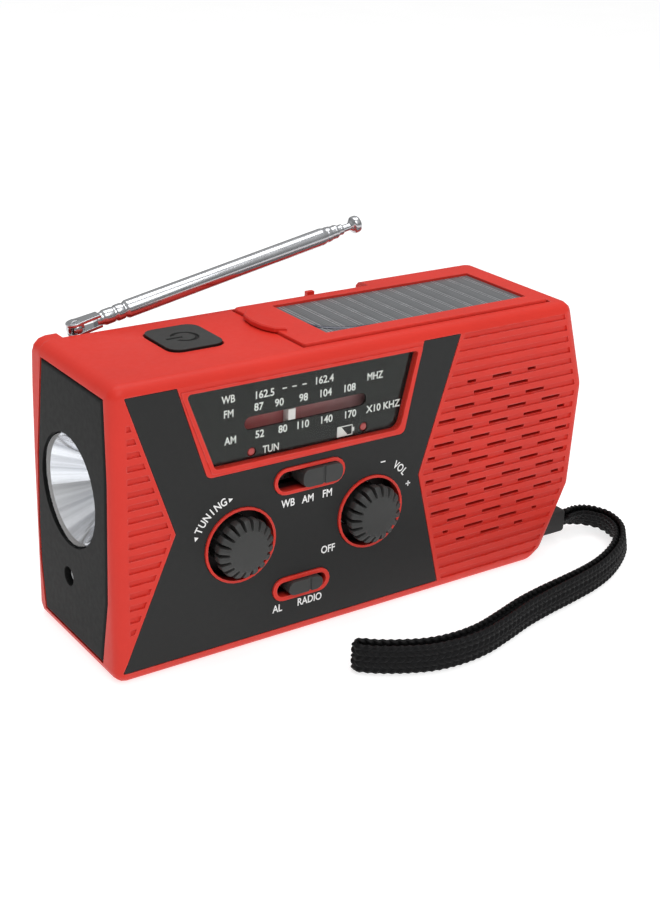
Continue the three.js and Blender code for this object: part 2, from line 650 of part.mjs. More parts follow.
function antennaBarrel() {
  const inner = POST.lug + POST.gap;
  const outer = inner + POST.ear;
  const ears = [[-outer, -inner], [inner, outer]].flatMap(([y0, y1]) => [
    rodY(PIVOT.x, PIVOT.z, POST.disc, PIVOT.y + y0, PIVOT.y + y1, 20),
    antennaBlock(0, 7, y0, y1, 3.2),
  ]);
  const pin = rodY(PIVOT.x, PIVOT.z, POST.pin, PIVOT.y - outer - 0.5, PIVOT.y + outer + 0.5, 20);
  return cut(join(antennaRod(2.45, 5.6, 79, 20), pin, ...ears), antennaRod(2.1, 9, 90, 16));
}

add('antenna_barrel', antennaBarrel(), 0xd4d7da, 0.15, 1);

const SECTIONS = [
  { r: 2, bore: 1.65, end: 81.2 },
  { r: 1.55, bore: 1.2, end: 83 },
  { r: 1.1, bore: 0, end: 86.4 },
];
SECTIONS.forEach(({ r, bore, end }, i) => {
  const tube = antennaRod(r, 10 + 2 * i, end, 12);
  const hollow = bore ? cut(tube, antennaRod(bore, 10 + 2 * i + 1.2, 90, 12)) : join(tube, antennaTip());
  add(`antenna_section_${i + 2}`, hollow, 0xd4d7da, 0.15, 1);
});

function antennaTip() {
  const profile = [[0, 85.6], [1.3, 85.6], [2.45, 86.6], [2.45, 88.1], [1.5, 88.9], [0, 89]];
  return onAntenna(turned(profile, 20));
}

// ---- Crank, gears and dynamo ----------------------------------------------------------------------

const ARM = { length: 33, y0: REAR + 0.8, y1: REAR + 5.4, half: 7.4 };
const GRIP = { y: REAR + 5.6, r: 4.7, spindle: 1.5 };
const HINGE_X = CRANK.x - ARM.length;

function crankArm() {
  const outline = rounded(
    rectangle(HINGE_X - 3, CRANK.x + 8.5, CRANK.z - ARM.half, CRANK.z + ARM.half),
    [3, 7.2, 7.2, 3],
    3,
  );
  const plate = alongY(outline, ARM.y0, ARM.y1);
  const cutout = block(HINGE_X - 5, CRANK.x - 6.5, ARM.y0 - 2, ARM.y1 + 2, CRANK.z - 5.2, CRANK.z + 5.2);
  const shaft = rodY(CRANK.x, CRANK.z, 3.05, 9, ARM.y0 + 1, 24);
  const washer = rodY(CRANK.x, CRANK.z, 5.6, REAR + 0.25, ARM.y0 + 0.5, 24);
  return cut(
    join(plate, shaft, washer),
    cutout,
    rodZ(HINGE_X, GRIP.y - 1.6, 1.2, CRANK.z - 20, CRANK.z + 20, 16),
    rodY(CRANK.x, CRANK.z, 3.4, ARM.y1 - 1.4, ARM.y1 + 2, 20),
    block(CRANK.x - 4, CRANK.x + 4, 8, 10.4, CRANK.z + 1.9, CRANK.z + 4),
  );
}

add('crank_arm', crankArm(), DARK, 0.5);
add('crank_screw', cut(
  rodY(CRANK.x, CRANK.z, 3, ARM.y1 - 1.35, ARM.y1 - 0.1, 20),
  block(CRANK.x - 2, CRANK.x + 2, ARM.y1 - 0.8, ARM.y1 + 1, CRANK.z - 0.4, CRANK.z + 0.4),
), 0x8a8d90, 0.35, 0.9);
add('crank_yoke', join(
  rodZ(HINGE_X, GRIP.y - 1.6, 1.1, CRANK.z - ARM.half + 0.8, CRANK.z + ARM.half - 0.8, 16),
  alongZ(
    rounded(rectangle(HINGE_X - 2.2, HINGE_X + 2.8, GRIP.y - 3.8, GRIP.y + 2.2), 1.4),
    33.4, 42.6, 0.4, 1,
  ),
  rodX(GRIP.y - 0.4, CRANK.z, GRIP.spindle, HINGE_X + 2, HINGE_X + 19, 16),
), 0x2f302f, 0.5);
add('crank_grip', cut(
  solid(turned([[0, 0], [3.9, 0], [4.6, 1.2], [4.1, 5], [4.1, 12], [4.7, 17], [4.2, 19.4], [0, 19.8]], 24)
    .rotateZ(-Math.PI / 2).translate(HINGE_X + 3.4, GRIP.y - 0.4, CRANK.z)),
  rodX(GRIP.y - 0.4, CRANK.z, GRIP.spindle + 0.1, HINGE_X + 1, HINGE_X + 19.4, 16),
), GREY, 0.55);

// Straight-sided spur teeth; phase is the angle of the first tooth.
function gearOutline({ x, z }, teeth, phase) {
  const pitchR = teeth / 2;
  const points = [];
  for (let i = 0; i < teeth; i += 1) {
    const a = phase + (2 * Math.PI * i) / teeth;
    const step = (2 * Math.PI) / teeth;
    for (const [r, side] of [[-1.15, -0.29], [0.8, -0.1], [0.8, 0.1], [-1.15, 0.29]]) {
      const turn = a + side * step;
      points.push([x + (pitchR + r) * Math.cos(turn), z + (pitchR + r) * Math.sin(turn)]);
    }
  }
  return points;
}

const WHEEL = 24;
const PINION = 8;
const CENTRES = (WHEEL + PINION) / 2;
const IDLER = { x: CRANK.x - CENTRES, z: CRANK.z };
const LEAN = THREE.MathUtils.degToRad(120);
const DYNAMO = { x: IDLER.x + CENTRES * Math.cos(LEAN), z: IDLER.z + CENTRES * Math.sin(LEAN) };

add('crank_gear', cut(
  alongY(gearOutline(CRANK, WHEEL, Math.PI), 11.4, 14),
  rodY(CRANK.x, CRANK.z, 3.15, 0, 20, 24),
), 0xe6e3d6, 0.5);
add('idler_gear', join(
  alongY(gearOutline(IDLER, PINION, Math.PI / PINION), 11.2, 14.2),
  alongY(gearOutline(IDLER, WHEEL, LEAN), 7.6, 10.2),
  rodY(IDLER.x, IDLER.z, 4.2, 10, 11.3, 20),
  rodY(IDLER.x, IDLER.z, 1.4, 5, 14.8, 16),
), 0xe6e3d6, 0.5);
add('dynamo_pinion', join(
  alongY(gearOutline(DYNAMO, PINION, LEAN + Math.PI + Math.PI / PINION), 7.4, 10.4),
  rodY(DYNAMO.x, DYNAMO.z, 1.2, 2, 7.5, 16),
), 0xe6e3d6, 0.5);
add('gear_plate', cut(
  block(-14, 36, 5.2, 6.8, 29, 64),
  rodY(IDLER.x, IDLER.z, 1.5, 0, 20, 16),
  rodY(DYNAMO.x, DYNAMO.z, 1.3, 0, 20, 16),
), METAL, 0.4, 0.8);
add('dynamo', cut(
  rodY(DYNAMO.x, DYNAMO.z, 10, -6.6, 5.1, 28),
  rodY(DYNAMO.x, DYNAMO.z, 1.3, 1.4, 9, 16),
), METAL, 0.35, 0.9);

// ---- Battery, ports, ferrite rod ------------------------------------------------------------------

add('battery', alongY(rounded(rectangle(-62.8, -18, 4.5, 33.8), 2, 2), 8, 17.4), 0x3d6ea5, 0.45);

function batteryDoor() {
  const { x0, x1, z0, z1 } = DOOR;
  const plate = block(x0, x1, REAR - 1.15, REAR - 0.05, z0, z1);
  const latch = block((x0 + x1) / 2 - 4, (x0 + x1) / 2 + 4, REAR - 0.8, REAR + 0.3, z1 - 4.4, z1 - 2.6);
  const plug = block(x0 + 2.6, x1 - 2.6, REAR - 3, REAR - 1, z0 + 2.6, z1 - 2.6);
  return join(cut(plate, block((x0 + x1) / 2 - 7, (x0 + x1) / 2 + 7, REAR - 0.5, REAR + 1, z1 - 6, z1 - 1)),
    latch, plug);
}
add('battery_door', batteryDoor(), RED, 0.5);

function portCover() {
  const slant = [PORT.z0, PORT.z1].map((z) => crossings(CASE, z).at(-1));
  const profile = [
    [slant[0] - 1.9, PORT.z0], [slant[0] + 0.15, PORT.z0],
    [slant[1] + 0.15, PORT.z1], [slant[1] - 1.9, PORT.z1],
  ];
  const grip = rodY((slant[0] + slant[1]) / 2 + 0.2, PORT.z1 - 3, 0.6, PORT.y0 + 4, PORT.y1 - 4, 12);
  return join(alongY(profile, PORT.y0, PORT.y1), grip);
}
add('port_cover', portCover(), 0x2b2c2b, 0.75);
add('port_block', cut(
  block(58, 70.6, -6, 8, 28, 50),
  block(63, 72, -5, 7, 41.6, 47),
  block(65, 72, -3, 5, 32.6, 35.4),
), METAL, 0.3, 0.9);
add('ferrite_rod', rodX(8, 70, 3, -30, 16, 16), 0x3b3936, 0.6);

// ---- Strap ----------------------------------------------------------------------------------------

add('strap_anchor', alongY(
  rounded(rectangle(ANCHOR.x0, ANCHOR.x1, ANCHOR.z0, ANCHOR.z1), [0.6, 1, 1, 0.6], 2),
  ANCHOR.y0,
  ANCHOR.y1,
  0.5,
  1,
), 0x222222, 0.6);

// The middle of the doubled strap, from the anchor to the fold.
const STRAP_MIDDLE = [
  [78.9, -13.5, 6.4], [84.5, -12.6, 5.6], [89.6, -14.2, 5], [92.4, -19, 4.7], [91.4, -25.8, 4.6],
  [87, -32, 4.6], [80, -37.6, 4.6], [71.4, -42.2, 4.6], [62.5, -45.2, 4.6], [52.5, -47.2, 4.6],
  [42.3, -48.9, 4.6], [32.4, -51, 4.6], [22.5, -54, 4.6], [13.5, -56.4, 4.6], [5, -57, 4.6],
  [-3, -55.8, 4.6], [-10, -52.8, 4.6], [-15.6, -49.4, 4.6], [-18.6, -46.8, 4.6],
];
const STRAP = { apart: 3.5, thick: 1.5, wide: 8.4, steps: 60 };

function strapRoute() {
  const middle = new THREE.CatmullRomCurve3(STRAP_MIDDLE.map((p) => new THREE.Vector3(...p)));
  const side = (share, sign) => {
    const ahead = middle.getTangentAt(share);
    const across = new THREE.Vector3(-ahead.y, ahead.x, 0).normalize();
    return middle.getPointAt(share).addScaledVector(across, (sign * STRAP.apart) / 2);
  };
  const shares = Array.from({ length: 19 }, (_, i) => i / 18);
  const fold = middle.getPointAt(1).addScaledVector(middle.getTangentAt(1), STRAP.apart / 2);
  const out = shares.map((share) => side(share, 1));
  const back = shares.toReversed().map((share) => side(share, -1));
  return new THREE.CatmullRomCurve3([...out, fold, ...back]);
}

function strapTube() {
  const [w, h] = [STRAP.wide / 2, STRAP.thick / 2];
  const section = [[-h, -w * 0.9], [-h * 0.6, -w], [h * 0.6, -w], [h, -w * 0.9], [h, w * 0.9], [h * 0.6, w],
    [-h * 0.6, w], [-h, w * 0.9]];
  const shape = new THREE.Shape(section.map(([x, y]) => new THREE.Vector2(x, y)));
  return solid(new THREE.ExtrudeGeometry(shape, { steps: STRAP.steps, extrudePath: strapRoute() }));
}

add('wrist_strap', strapTube(), 0x1a1a1a, 0.85);

export default radio;
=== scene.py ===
import json
import math

import bmesh
import bpy
from mathutils import Matrix, Vector

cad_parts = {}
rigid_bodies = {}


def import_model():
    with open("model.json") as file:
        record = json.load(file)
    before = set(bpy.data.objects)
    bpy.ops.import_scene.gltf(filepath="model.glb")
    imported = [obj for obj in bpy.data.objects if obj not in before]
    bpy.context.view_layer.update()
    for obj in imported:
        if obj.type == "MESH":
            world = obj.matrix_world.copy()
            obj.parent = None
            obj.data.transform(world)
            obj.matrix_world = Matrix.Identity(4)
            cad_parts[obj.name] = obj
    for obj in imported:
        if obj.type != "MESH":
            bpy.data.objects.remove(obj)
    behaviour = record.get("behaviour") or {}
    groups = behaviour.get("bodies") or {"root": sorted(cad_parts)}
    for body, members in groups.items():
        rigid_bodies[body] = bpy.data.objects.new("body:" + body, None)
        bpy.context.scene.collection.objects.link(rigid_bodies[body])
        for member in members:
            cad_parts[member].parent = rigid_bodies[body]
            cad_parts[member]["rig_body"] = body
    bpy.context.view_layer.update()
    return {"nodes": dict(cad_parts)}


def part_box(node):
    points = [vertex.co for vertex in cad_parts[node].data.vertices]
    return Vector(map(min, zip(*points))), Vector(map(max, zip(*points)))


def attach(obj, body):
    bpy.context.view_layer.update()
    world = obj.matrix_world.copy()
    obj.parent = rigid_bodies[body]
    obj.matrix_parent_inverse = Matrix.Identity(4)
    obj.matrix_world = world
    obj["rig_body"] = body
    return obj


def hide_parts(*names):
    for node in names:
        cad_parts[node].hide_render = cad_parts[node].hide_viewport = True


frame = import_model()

MM = 0.001
UP = Vector((0, 0, 1))

# ---- Camera, light and floor -----------------------------------------------------------------------

# Where the camera stands, in metres, and its turn about Z, its tip downwards and its roll, in degrees.
CAMERA_PLACE = (-0.2188, -0.3154, 0.2004)
CAMERA_ANGLES = (-35.06, 22.64, 2.0)
LENS = 60.49
SENSOR = 36

WORLD_LOW = 0.16
WORLD_HIGH = 0.5
WORLD_RAMP_END = 0.6
# Softboxes: place, the point aimed at and size in metres, and power in watts.
SOFTBOXES = {
    "key": ((-0.12, -0.6, 0.75), (0, 0, 0.04), (0.6, 0.5), 3.0),
    "top": ((0.05, 0.12, 0.95), (0, 0, 0.05), (0.8, 0.5), 3.8),
}
FLOOR_GLOW = 0.72
FLOOR_SIZE = 90
FLOOR_TONES = ((0.49, 0.49, 0.49), (0.51, 0.51, 0.51))


def camera():
    """A long lens at the front's upper left, level to within two degrees."""
    turn, tip, roll = (math.radians(a) for a in CAMERA_ANGLES)
    ahead = Vector((-math.sin(turn) * math.cos(tip), math.cos(turn) * math.cos(tip), -math.sin(tip)))
    right = ahead.cross(UP).normalized()
    up = right.cross(ahead)
    across = math.cos(roll) * right + math.sin(roll) * up
    above = -math.sin(roll) * right + math.cos(roll) * up
    data = bpy.data.cameras.new("camera")
    data.lens = LENS
    data.sensor_width = SENSOR
    data.clip_start = 10 * MM
    made = bpy.data.objects.new("camera", data)
    axes = Matrix((across, above, -ahead)).transposed().to_4x4()
    made.matrix_world = Matrix.Translation(CAMERA_PLACE) @ axes
    bpy.context.scene.collection.objects.link(made)
    bpy.context.scene.camera = made


def softbox(name, place, aim, size, watts):
    """A rectangular area light at place, turned towards aim."""
    data = bpy.data.lights.new(name, "AREA")
    data.shape = "RECTANGLE"
    data.size, data.size_y = size
    data.energy = watts
    made = bpy.data.objects.new(name, data)
    made.location = place
    made.rotation_euler = (Vector(aim) - Vector(place)).to_track_quat("-Z", "Y").to_euler()
    bpy.context.scene.collection.objects.link(made)


def sky():
    """Soft grey light from all round, brighter from above."""
    world = bpy.data.worlds.new("studio")
    bpy.context.scene.world = world
    world.use_nodes = True
    tree = world.node_tree
    up = tree.nodes.new("ShaderNodeSeparateXYZ")
    tree.links.new(tree.nodes.new("ShaderNodeTexCoord").outputs["Generated"], up.inputs[0])
    ramp = tree.nodes.new("ShaderNodeValToRGB")
    ramp.color_ramp.elements[0].color = (*[WORLD_LOW] * 3, 1)
    ramp.color_ramp.elements[1].color = (*[WORLD_HIGH] * 3, 1)
    ramp.color_ramp.elements[1].position = WORLD_RAMP_END
    tree.links.new(up.outputs["Z"], ramp.inputs[0])
    tree.links.new(ramp.outputs[0], tree.nodes["Background"].inputs["Color"])


def ground():
    """A large pale floor that glows a little, so that it stays white around the radio."""
    floor = bpy.data.meshes.new("floor")
    reach = FLOOR_SIZE / 2
    corners = [(-reach, -reach, 0), (reach, -reach, 0), (reach, reach, 0), (-reach, reach, 0)]
    floor.from_pydata(corners, [], [(0, 1, 2, 3)])
    paint = Paint("floor", (0.5, 0.5, 0.5), 0.7)
    paint.colour(paint.mixed(paint.spread(paint.noise(60), 0, 1), *FLOOR_TONES))
    paint.shader.inputs["Emission Color"].default_value = (1, 1, 1, 1)
    paint.shader.inputs["Emission Strength"].default_value = FLOOR_GLOW
    floor.materials.append(paint.material)
    made = bpy.data.objects.new("floor", floor)
    bpy.context.scene.collection.objects.link(made)


def studio():
    bpy.context.scene.view_settings.view_transform = "Standard"
    sky()
    for name, setting in SOFTBOXES.items():
        softbox(name, *setting)
    ground()


# ---- Procedural materials --------------------------------------------------------------------------


class Paint:
    """One material on the Principled shader, and the nodes that vary it over the surface."""

    def __init__(self, name, colour, roughness, **sockets):
        self.material = bpy.data.materials.new(name)
        self.material.use_nodes = True
        self.tree = self.material.node_tree
        self.shader = self.tree.nodes["Principled BSDF"]
        self.shader.inputs["Base Color"].default_value = (*colour, 1)
        self.shader.inputs["Roughness"].default_value = roughness
        for socket, value in sockets.items():
            self.shader.inputs[socket.replace("_", " ")].default_value = value
        self.place = self.node("ShaderNodeTexCoord").outputs["Object"]
        self.normal = None

    def node(self, kind, inputs=None, **settings):
        """A new node, with each input linked to a socket or set to a value."""
        made = self.tree.nodes.new(kind)
        for key, value in settings.items():
            setattr(made, key, value)
        for key, value in (inputs or {}).items():
            if isinstance(value, bpy.types.NodeSocket):
                self.tree.links.new(value, made.inputs[key])
            else:
                made.inputs[key].default_value = value
        return made

    def mapped(self, size, stretch=(1, 1, 1)):
        """The place on the surface, in units of size millimetres."""
        scale = [1 / (size * MM * s) for s in stretch]
        return self.node("ShaderNodeMapping", {"Vector": self.place, "Scale": scale}).outputs[0]

    def noise(self, size, detail=2.0, stretch=(1, 1, 1)):
        """From 0 to 1, in blotches about size millimetres across."""
        settings = {"Vector": self.mapped(size, stretch), "Scale": 1.0, "Detail": detail}
        return self.node("ShaderNodeTexNoise", settings).outputs["Fac"]

    def spread(self, value, low, high, start=0.35, end=0.65):
        """Maps a value from start to end onto low to high, and holds it at the ends."""
        settings = {"Value": value, "From Min": start, "From Max": end, "To Min": low, "To Max": high}
        return self.node("ShaderNodeMapRange", settings).outputs[0]

    def maths(self, operation, a, b=0.0):
        return self.node("ShaderNodeMath", {0: a, 1: b}, operation=operation).outputs[0]

    def axis(self, name):
        return self.node("ShaderNodeSeparateXYZ", {0: self.place}).outputs[name]

    def mixed(self, share, first, second):
        """A colour between first and second, which are sockets or plain colours."""
        inputs = {0: share}
        for key, value in ((6, first), (7, second)):
            inputs[key] = value if isinstance(value, bpy.types.NodeSocket) else (*value, 1)
        return self.node("ShaderNodeMix", inputs, data_type="RGBA").outputs[2]

    def colour(self, socket):
        self.tree.links.new(socket, self.shader.inputs["Base Color"])
        return self

    def rough(self, socket):
        self.tree.links.new(socket, self.shader.inputs["Roughness"])
        return self

    def bump(self, height, depth, strength=1.0):
        """Raises the surface by height, from 0 to 1, times depth millimetres."""
        inputs = {"Height": height, "Distance": depth * MM, "Strength": strength}
        if self.normal:
            inputs["Normal"] = self.normal
        self.normal = self.node("ShaderNodeBump", inputs).outputs[0]
        self.tree.links.new(self.normal, self.shader.inputs["Normal"])
        return self

    def edges(self, radius):
        """0 on flat surfaces, up to 1 on the sharp edges of the shape."""
        soft = self.node("ShaderNodeBevel", {"Radius": radius * MM}, samples=4).outputs[0]
        hard = self.node("ShaderNodeNewGeometry").outputs["Normal"]
        dot = self.node("ShaderNodeVectorMath", {0: soft, 1: hard}, operation="DOT_PRODUCT")
        return self.spread(dot.outputs["Value"], 1, 0, 0.72, 0.995)


def tinted(colour, factor):
    return tuple(min(1, c * factor) for c in colour)


def moulded(name, colour, roughness, grain=0.3, depth=0.012, tint=0.1, wear_and_highlight=0.0, speck=0.2, **sockets):
    """Moulded plastic: slow changes of tone, fine spark-eroded grain, and paler edges that are partly
    rubbed wear and partly painted highlight.
    """
    paint = Paint(name, colour, roughness, **sockets)
    slow = paint.spread(paint.noise(22, 3), 0, 1)
    tone = paint.mixed(slow, tinted(colour, 1 - tint), tinted(colour, 1 + tint))
    specks = paint.spread(paint.noise(0.35, 3), 0, speck, 0.6, 0.75)
    tone = paint.mixed(specks, tone, tinted(colour, 1.25))
    if wear_and_highlight:
        # Paler edges: rubbed wear in patches, together with a painted highlight along the edges.
        rubbed = tuple(c + (0.6 - c) * wear_and_highlight for c in colour)
        worn_and_highlit = paint.maths("MULTIPLY", paint.edges(0.45), paint.spread(paint.noise(3, 4), 0, 0.6))
        tone = paint.mixed(worn_and_highlit, tone, rubbed)
    paint.colour(tone)
    paint.rough(paint.spread(paint.noise(1.6, 4), roughness - 0.02, roughness + 0.03))
    paint.bump(paint.noise(grain, 3), depth, 0.6)
    return paint


def over(paint, share, colour):
    """Lays a second colour over the paint's own, by a share from 0 to 1."""
    own = paint.shader.inputs["Base Color"].links[0].from_socket
    return paint.colour(paint.mixed(share, own, colour))


def metal(name, colour, roughness, stretch=(1, 1, 1), streak=0.6, relief=0.004, uneven=0.1):
    """Bare or plated metal with fine drawn streaks and faint handling marks."""
    paint = Paint(name, colour, roughness, Metallic=1.0)
    lines = paint.noise(streak, 3, stretch)
    marks = paint.spread(paint.noise(5, 4), 0, 1, 0.45, 0.7)
    dull, bright = tinted(colour, 1 - uneven), tinted(colour, 1 + uneven / 2)
    paint.colour(paint.mixed(paint.spread(lines, 0, 1), dull, bright))
    streaked = paint.spread(lines, roughness * 0.85, roughness * 1.15)
    paint.rough(paint.maths("ADD", streaked, paint.maths("MULTIPLY", marks, roughness * 0.3)))
    return paint.bump(lines, relief, 0.5)


def clear(name, tint, roughness, mirror, gloss, share):
    """Clear plastic: a see-through tint with a gloss that strengthens at glancing angles."""
    paint = Paint(name, (gloss, gloss, gloss), roughness, Metallic=1.0)
    paint.rough(paint.spread(paint.noise(4, 3), roughness, roughness + 0.03))
    paint.bump(paint.noise(30, 1), 0.02, 0.1)
    through = paint.node("ShaderNodeBsdfTransparent", {"Color": (*tint, 1)}).outputs[0]
    fresnel = paint.node("ShaderNodeFresnel", {"IOR": mirror}).outputs[0]
    inner = paint.node("ShaderNodeNewGeometry").outputs["Backfacing"]
    outer = paint.maths("MULTIPLY", paint.maths("SUBTRACT", 1.0, inner), share)
    scaled = paint.maths("MULTIPLY", fresnel, outer)
    mix = paint.node("ShaderNodeMixShader", {0: scaled, 1: through, 2: paint.shader.outputs[0]}).outputs[0]
    paint.tree.links.new(mix, paint.tree.nodes["Material Output"].inputs["Surface"])
    return paint


def knitted(name, colour):
    """Knitted black webbing: fibres along and across, with a soft sheen."""
    paint = Paint(name, colour, 0.5, Specular_IOR_Level=0.16, Sheen_Weight=0.01, Sheen_Roughness=0.5)
    fibres = paint.noise(0.16, 3)
    tone = paint.mixed(paint.spread(fibres, 0, 1), tinted(colour, 0.55), tinted(colour, 1.9))
    paint.colour(paint.mixed(paint.spread(paint.noise(7, 2), 0, 0.5), tone, tinted(colour, 1.3)))
    paint.rough(paint.spread(paint.noise(0.5, 2), 0.4, 0.62))
    return paint.bump(fibres, 0.09, 0.8)


RED = (0.68, 0.034, 0.021)
DARK = (0.0115, 0.012, 0.0118)
GREY = (0.036, 0.037, 0.036)
WHITE = (0.9, 0.9, 0.89)
CREAM = (0.72, 0.70, 0.58)
PCB = (0.03, 0.16, 0.06)

# The knobs' axes, in X and Z, and the torch's, in Y and Z, in millimetres.
TUNING = (-39.7, 30.6)
VOLUME = (0.5, 30.6)
TORCH = (2.1, 44.2)
# The cups in the front: X, Z, half the length of the straight sides, and the inner radius.
CUPS = [(*TUNING, 0, 9.9), (*VOLUME, 0, 9.9), (-19.2, 45.2, 7.15, 2.9), (-21, 14.5, 5.55, 2.3)]
# Painted shade fills the insides of the cups between these places along Y, and the button's sides between
# these heights.
CUP_SHADE = (-22.4, -19.6)
BUTTON_SHADE = (79.22, 79.36)
# The spacing of the cell's fine finger lines and of its pairs of bars, in millimetres.
FINGER_PITCH = 0.86
BAR_PITCH = 5.15


def shell_paint():
    """The red of the case, with painted shade that makes the insides of the knob and slider cups nearly
    black.
    """
    paint = moulded("red_case", RED, 0.45, wear_and_highlight=0.25, tint=0.04, speck=0.12, Specular_IOR_Level=0.25)
    inside = 0.0
    for x, z, half, inner in CUPS:
        across = paint.maths("ABSOLUTE", paint.maths("SUBTRACT", paint.axis("X"), x * MM))
        across = paint.maths("MAXIMUM", paint.maths("SUBTRACT", across, half * MM), 0.0)
        up = paint.maths("SUBTRACT", paint.axis("Z"), z * MM)
        flat = paint.node("ShaderNodeCombineXYZ", {0: across, 1: up}).outputs[0]
        radius = paint.node("ShaderNodeVectorMath", {0: flat}, operation="LENGTH").outputs["Value"]
        within = paint.spread(radius, 1, 0, (inner - 0.05) * MM, (inner + 0.05) * MM)
        inside = paint.maths("MAXIMUM", inside, within)
    # Painted shade: behind the cups' red rims, their insides are laid nearly black.
    cup_shade_depth = paint.spread(paint.axis("Y"), 0, 1, CUP_SHADE[0] * MM, CUP_SHADE[1] * MM)
    return over(paint, paint.maths("MULTIPLY", inside, cup_shade_depth), (0.012, 0.003, 0.003))


def button_paint():
    """Soft grey, with painted shade that makes the cut symbol and the sides nearly black."""
    paint = moulded("power_button", GREY, 0.6, grain=0.5, depth=0.02, speck=0.1, Specular_IOR_Level=0.3)
    # Painted shade: below the button's top face, the cut symbol and the sides are laid nearly black.
    shaded_below = paint.spread(paint.axis("Z"), 1, 0, BUTTON_SHADE[0] * MM, BUTTON_SHADE[1] * MM)
    return over(paint, shaded_below, (0.003, 0.003, 0.003))


def reflector_paint():
    """A bright coat with soft streaks that run out from the lamp: painted reflections in its colour, which
    also vary its roughness and bumps.
    """
    paint = Paint("mirror_coat", (0.9, 0.91, 0.93), 0.1, Metallic=1.0)
    across = paint.maths("SUBTRACT", paint.axis("Y"), TORCH[0] * MM)
    up = paint.maths("SUBTRACT", paint.axis("Z"), TORCH[1] * MM)
    flat = paint.node("ShaderNodeCombineXYZ", {1: across, 2: up}).outputs[0]
    ray = paint.node("ShaderNodeVectorMath", {0: flat}, operation="NORMALIZE").outputs[0]
    settings = {"Vector": ray, "Scale": 3.4, "Detail": 3.0}
    streaks = paint.node("ShaderNodeTexNoise", settings).outputs["Fac"]
    # Painted reflection: the streaks swing the mirror's colour between dark grey and near white.
    paint.colour(paint.mixed(paint.spread(streaks, 0, 1, 0.4, 0.6), (0.42, 0.43, 0.46), (0.95, 0.95, 0.97)))
    paint.rough(paint.spread(streaks, 0.08, 0.22))
    return paint.bump(streaks, 0.3, 0.5)


def cell_paint():
    """A solar cell under resin: fine finger lines across, blotchy dark silicon, a glossy coat."""
    paint = Paint("solar_cell", (0.09, 0.095, 0.1), 0.34, Coat_Weight=0.25, Coat_Roughness=0.25)
    across = paint.maths("FRACT", paint.maths("DIVIDE", paint.axis("X"), FINGER_PITCH * MM))
    fingers = paint.spread(across, 0, 1, 0.66, 0.84)
    blotches = paint.spread(paint.noise(9, 3), 0, 1)
    silicon = paint.mixed(blotches, (0.07, 0.073, 0.078), (0.085, 0.089, 0.095))
    wave = paint.maths("SINE", paint.maths("MULTIPLY", paint.axis("X"), 2 * math.pi / (BAR_PITCH * MM)))
    silicon = paint.mixed(paint.spread(wave, 0, 0.5, -1, 1), silicon, (0.13, 0.136, 0.142))
    paint.colour(paint.mixed(paint.maths("MULTIPLY", fingers, 0.6), silicon, (0.23, 0.24, 0.25)))
    paint.rough(paint.spread(paint.noise(6, 3), 0.28, 0.36))
    return paint.bump(fingers, 0.01, 0.3)


def board_paint():
    """Green lacquer over paler copper tracks."""
    paint = Paint("circuit_board", PCB, 0.35)
    tracks = paint.spread(paint.noise(2.2, 0), 0, 1, 0.49, 0.5)
    paint.colour(paint.mixed(tracks, tinted(PCB, 0.7), tinted(PCB, 1.5)))
    paint.rough(paint.spread(paint.noise(1.5), 0.25, 0.5))
    return paint.bump(tracks, 0.03)


def backing_paint():
    """The dial's backing: dusty pink, and deeper red towards its left end."""
    paint = Paint("dial_backing", (0.4, 0.12, 0.12), 0.45)
    along = paint.spread(paint.axis("X"), 0, 1, -0.039, -0.006)
    tone = paint.mixed(along, (0.62, 0.1, 0.1), (0.5, 0.24, 0.25))
    paint.colour(paint.mixed(paint.spread(paint.noise(3, 2), 0, 0.2), tone, (0.6, 0.36, 0.36)))
    paint.rough(paint.spread(paint.noise(1.5), 0.4, 0.6))
    return paint.bump(paint.noise(0.4), 0.01)


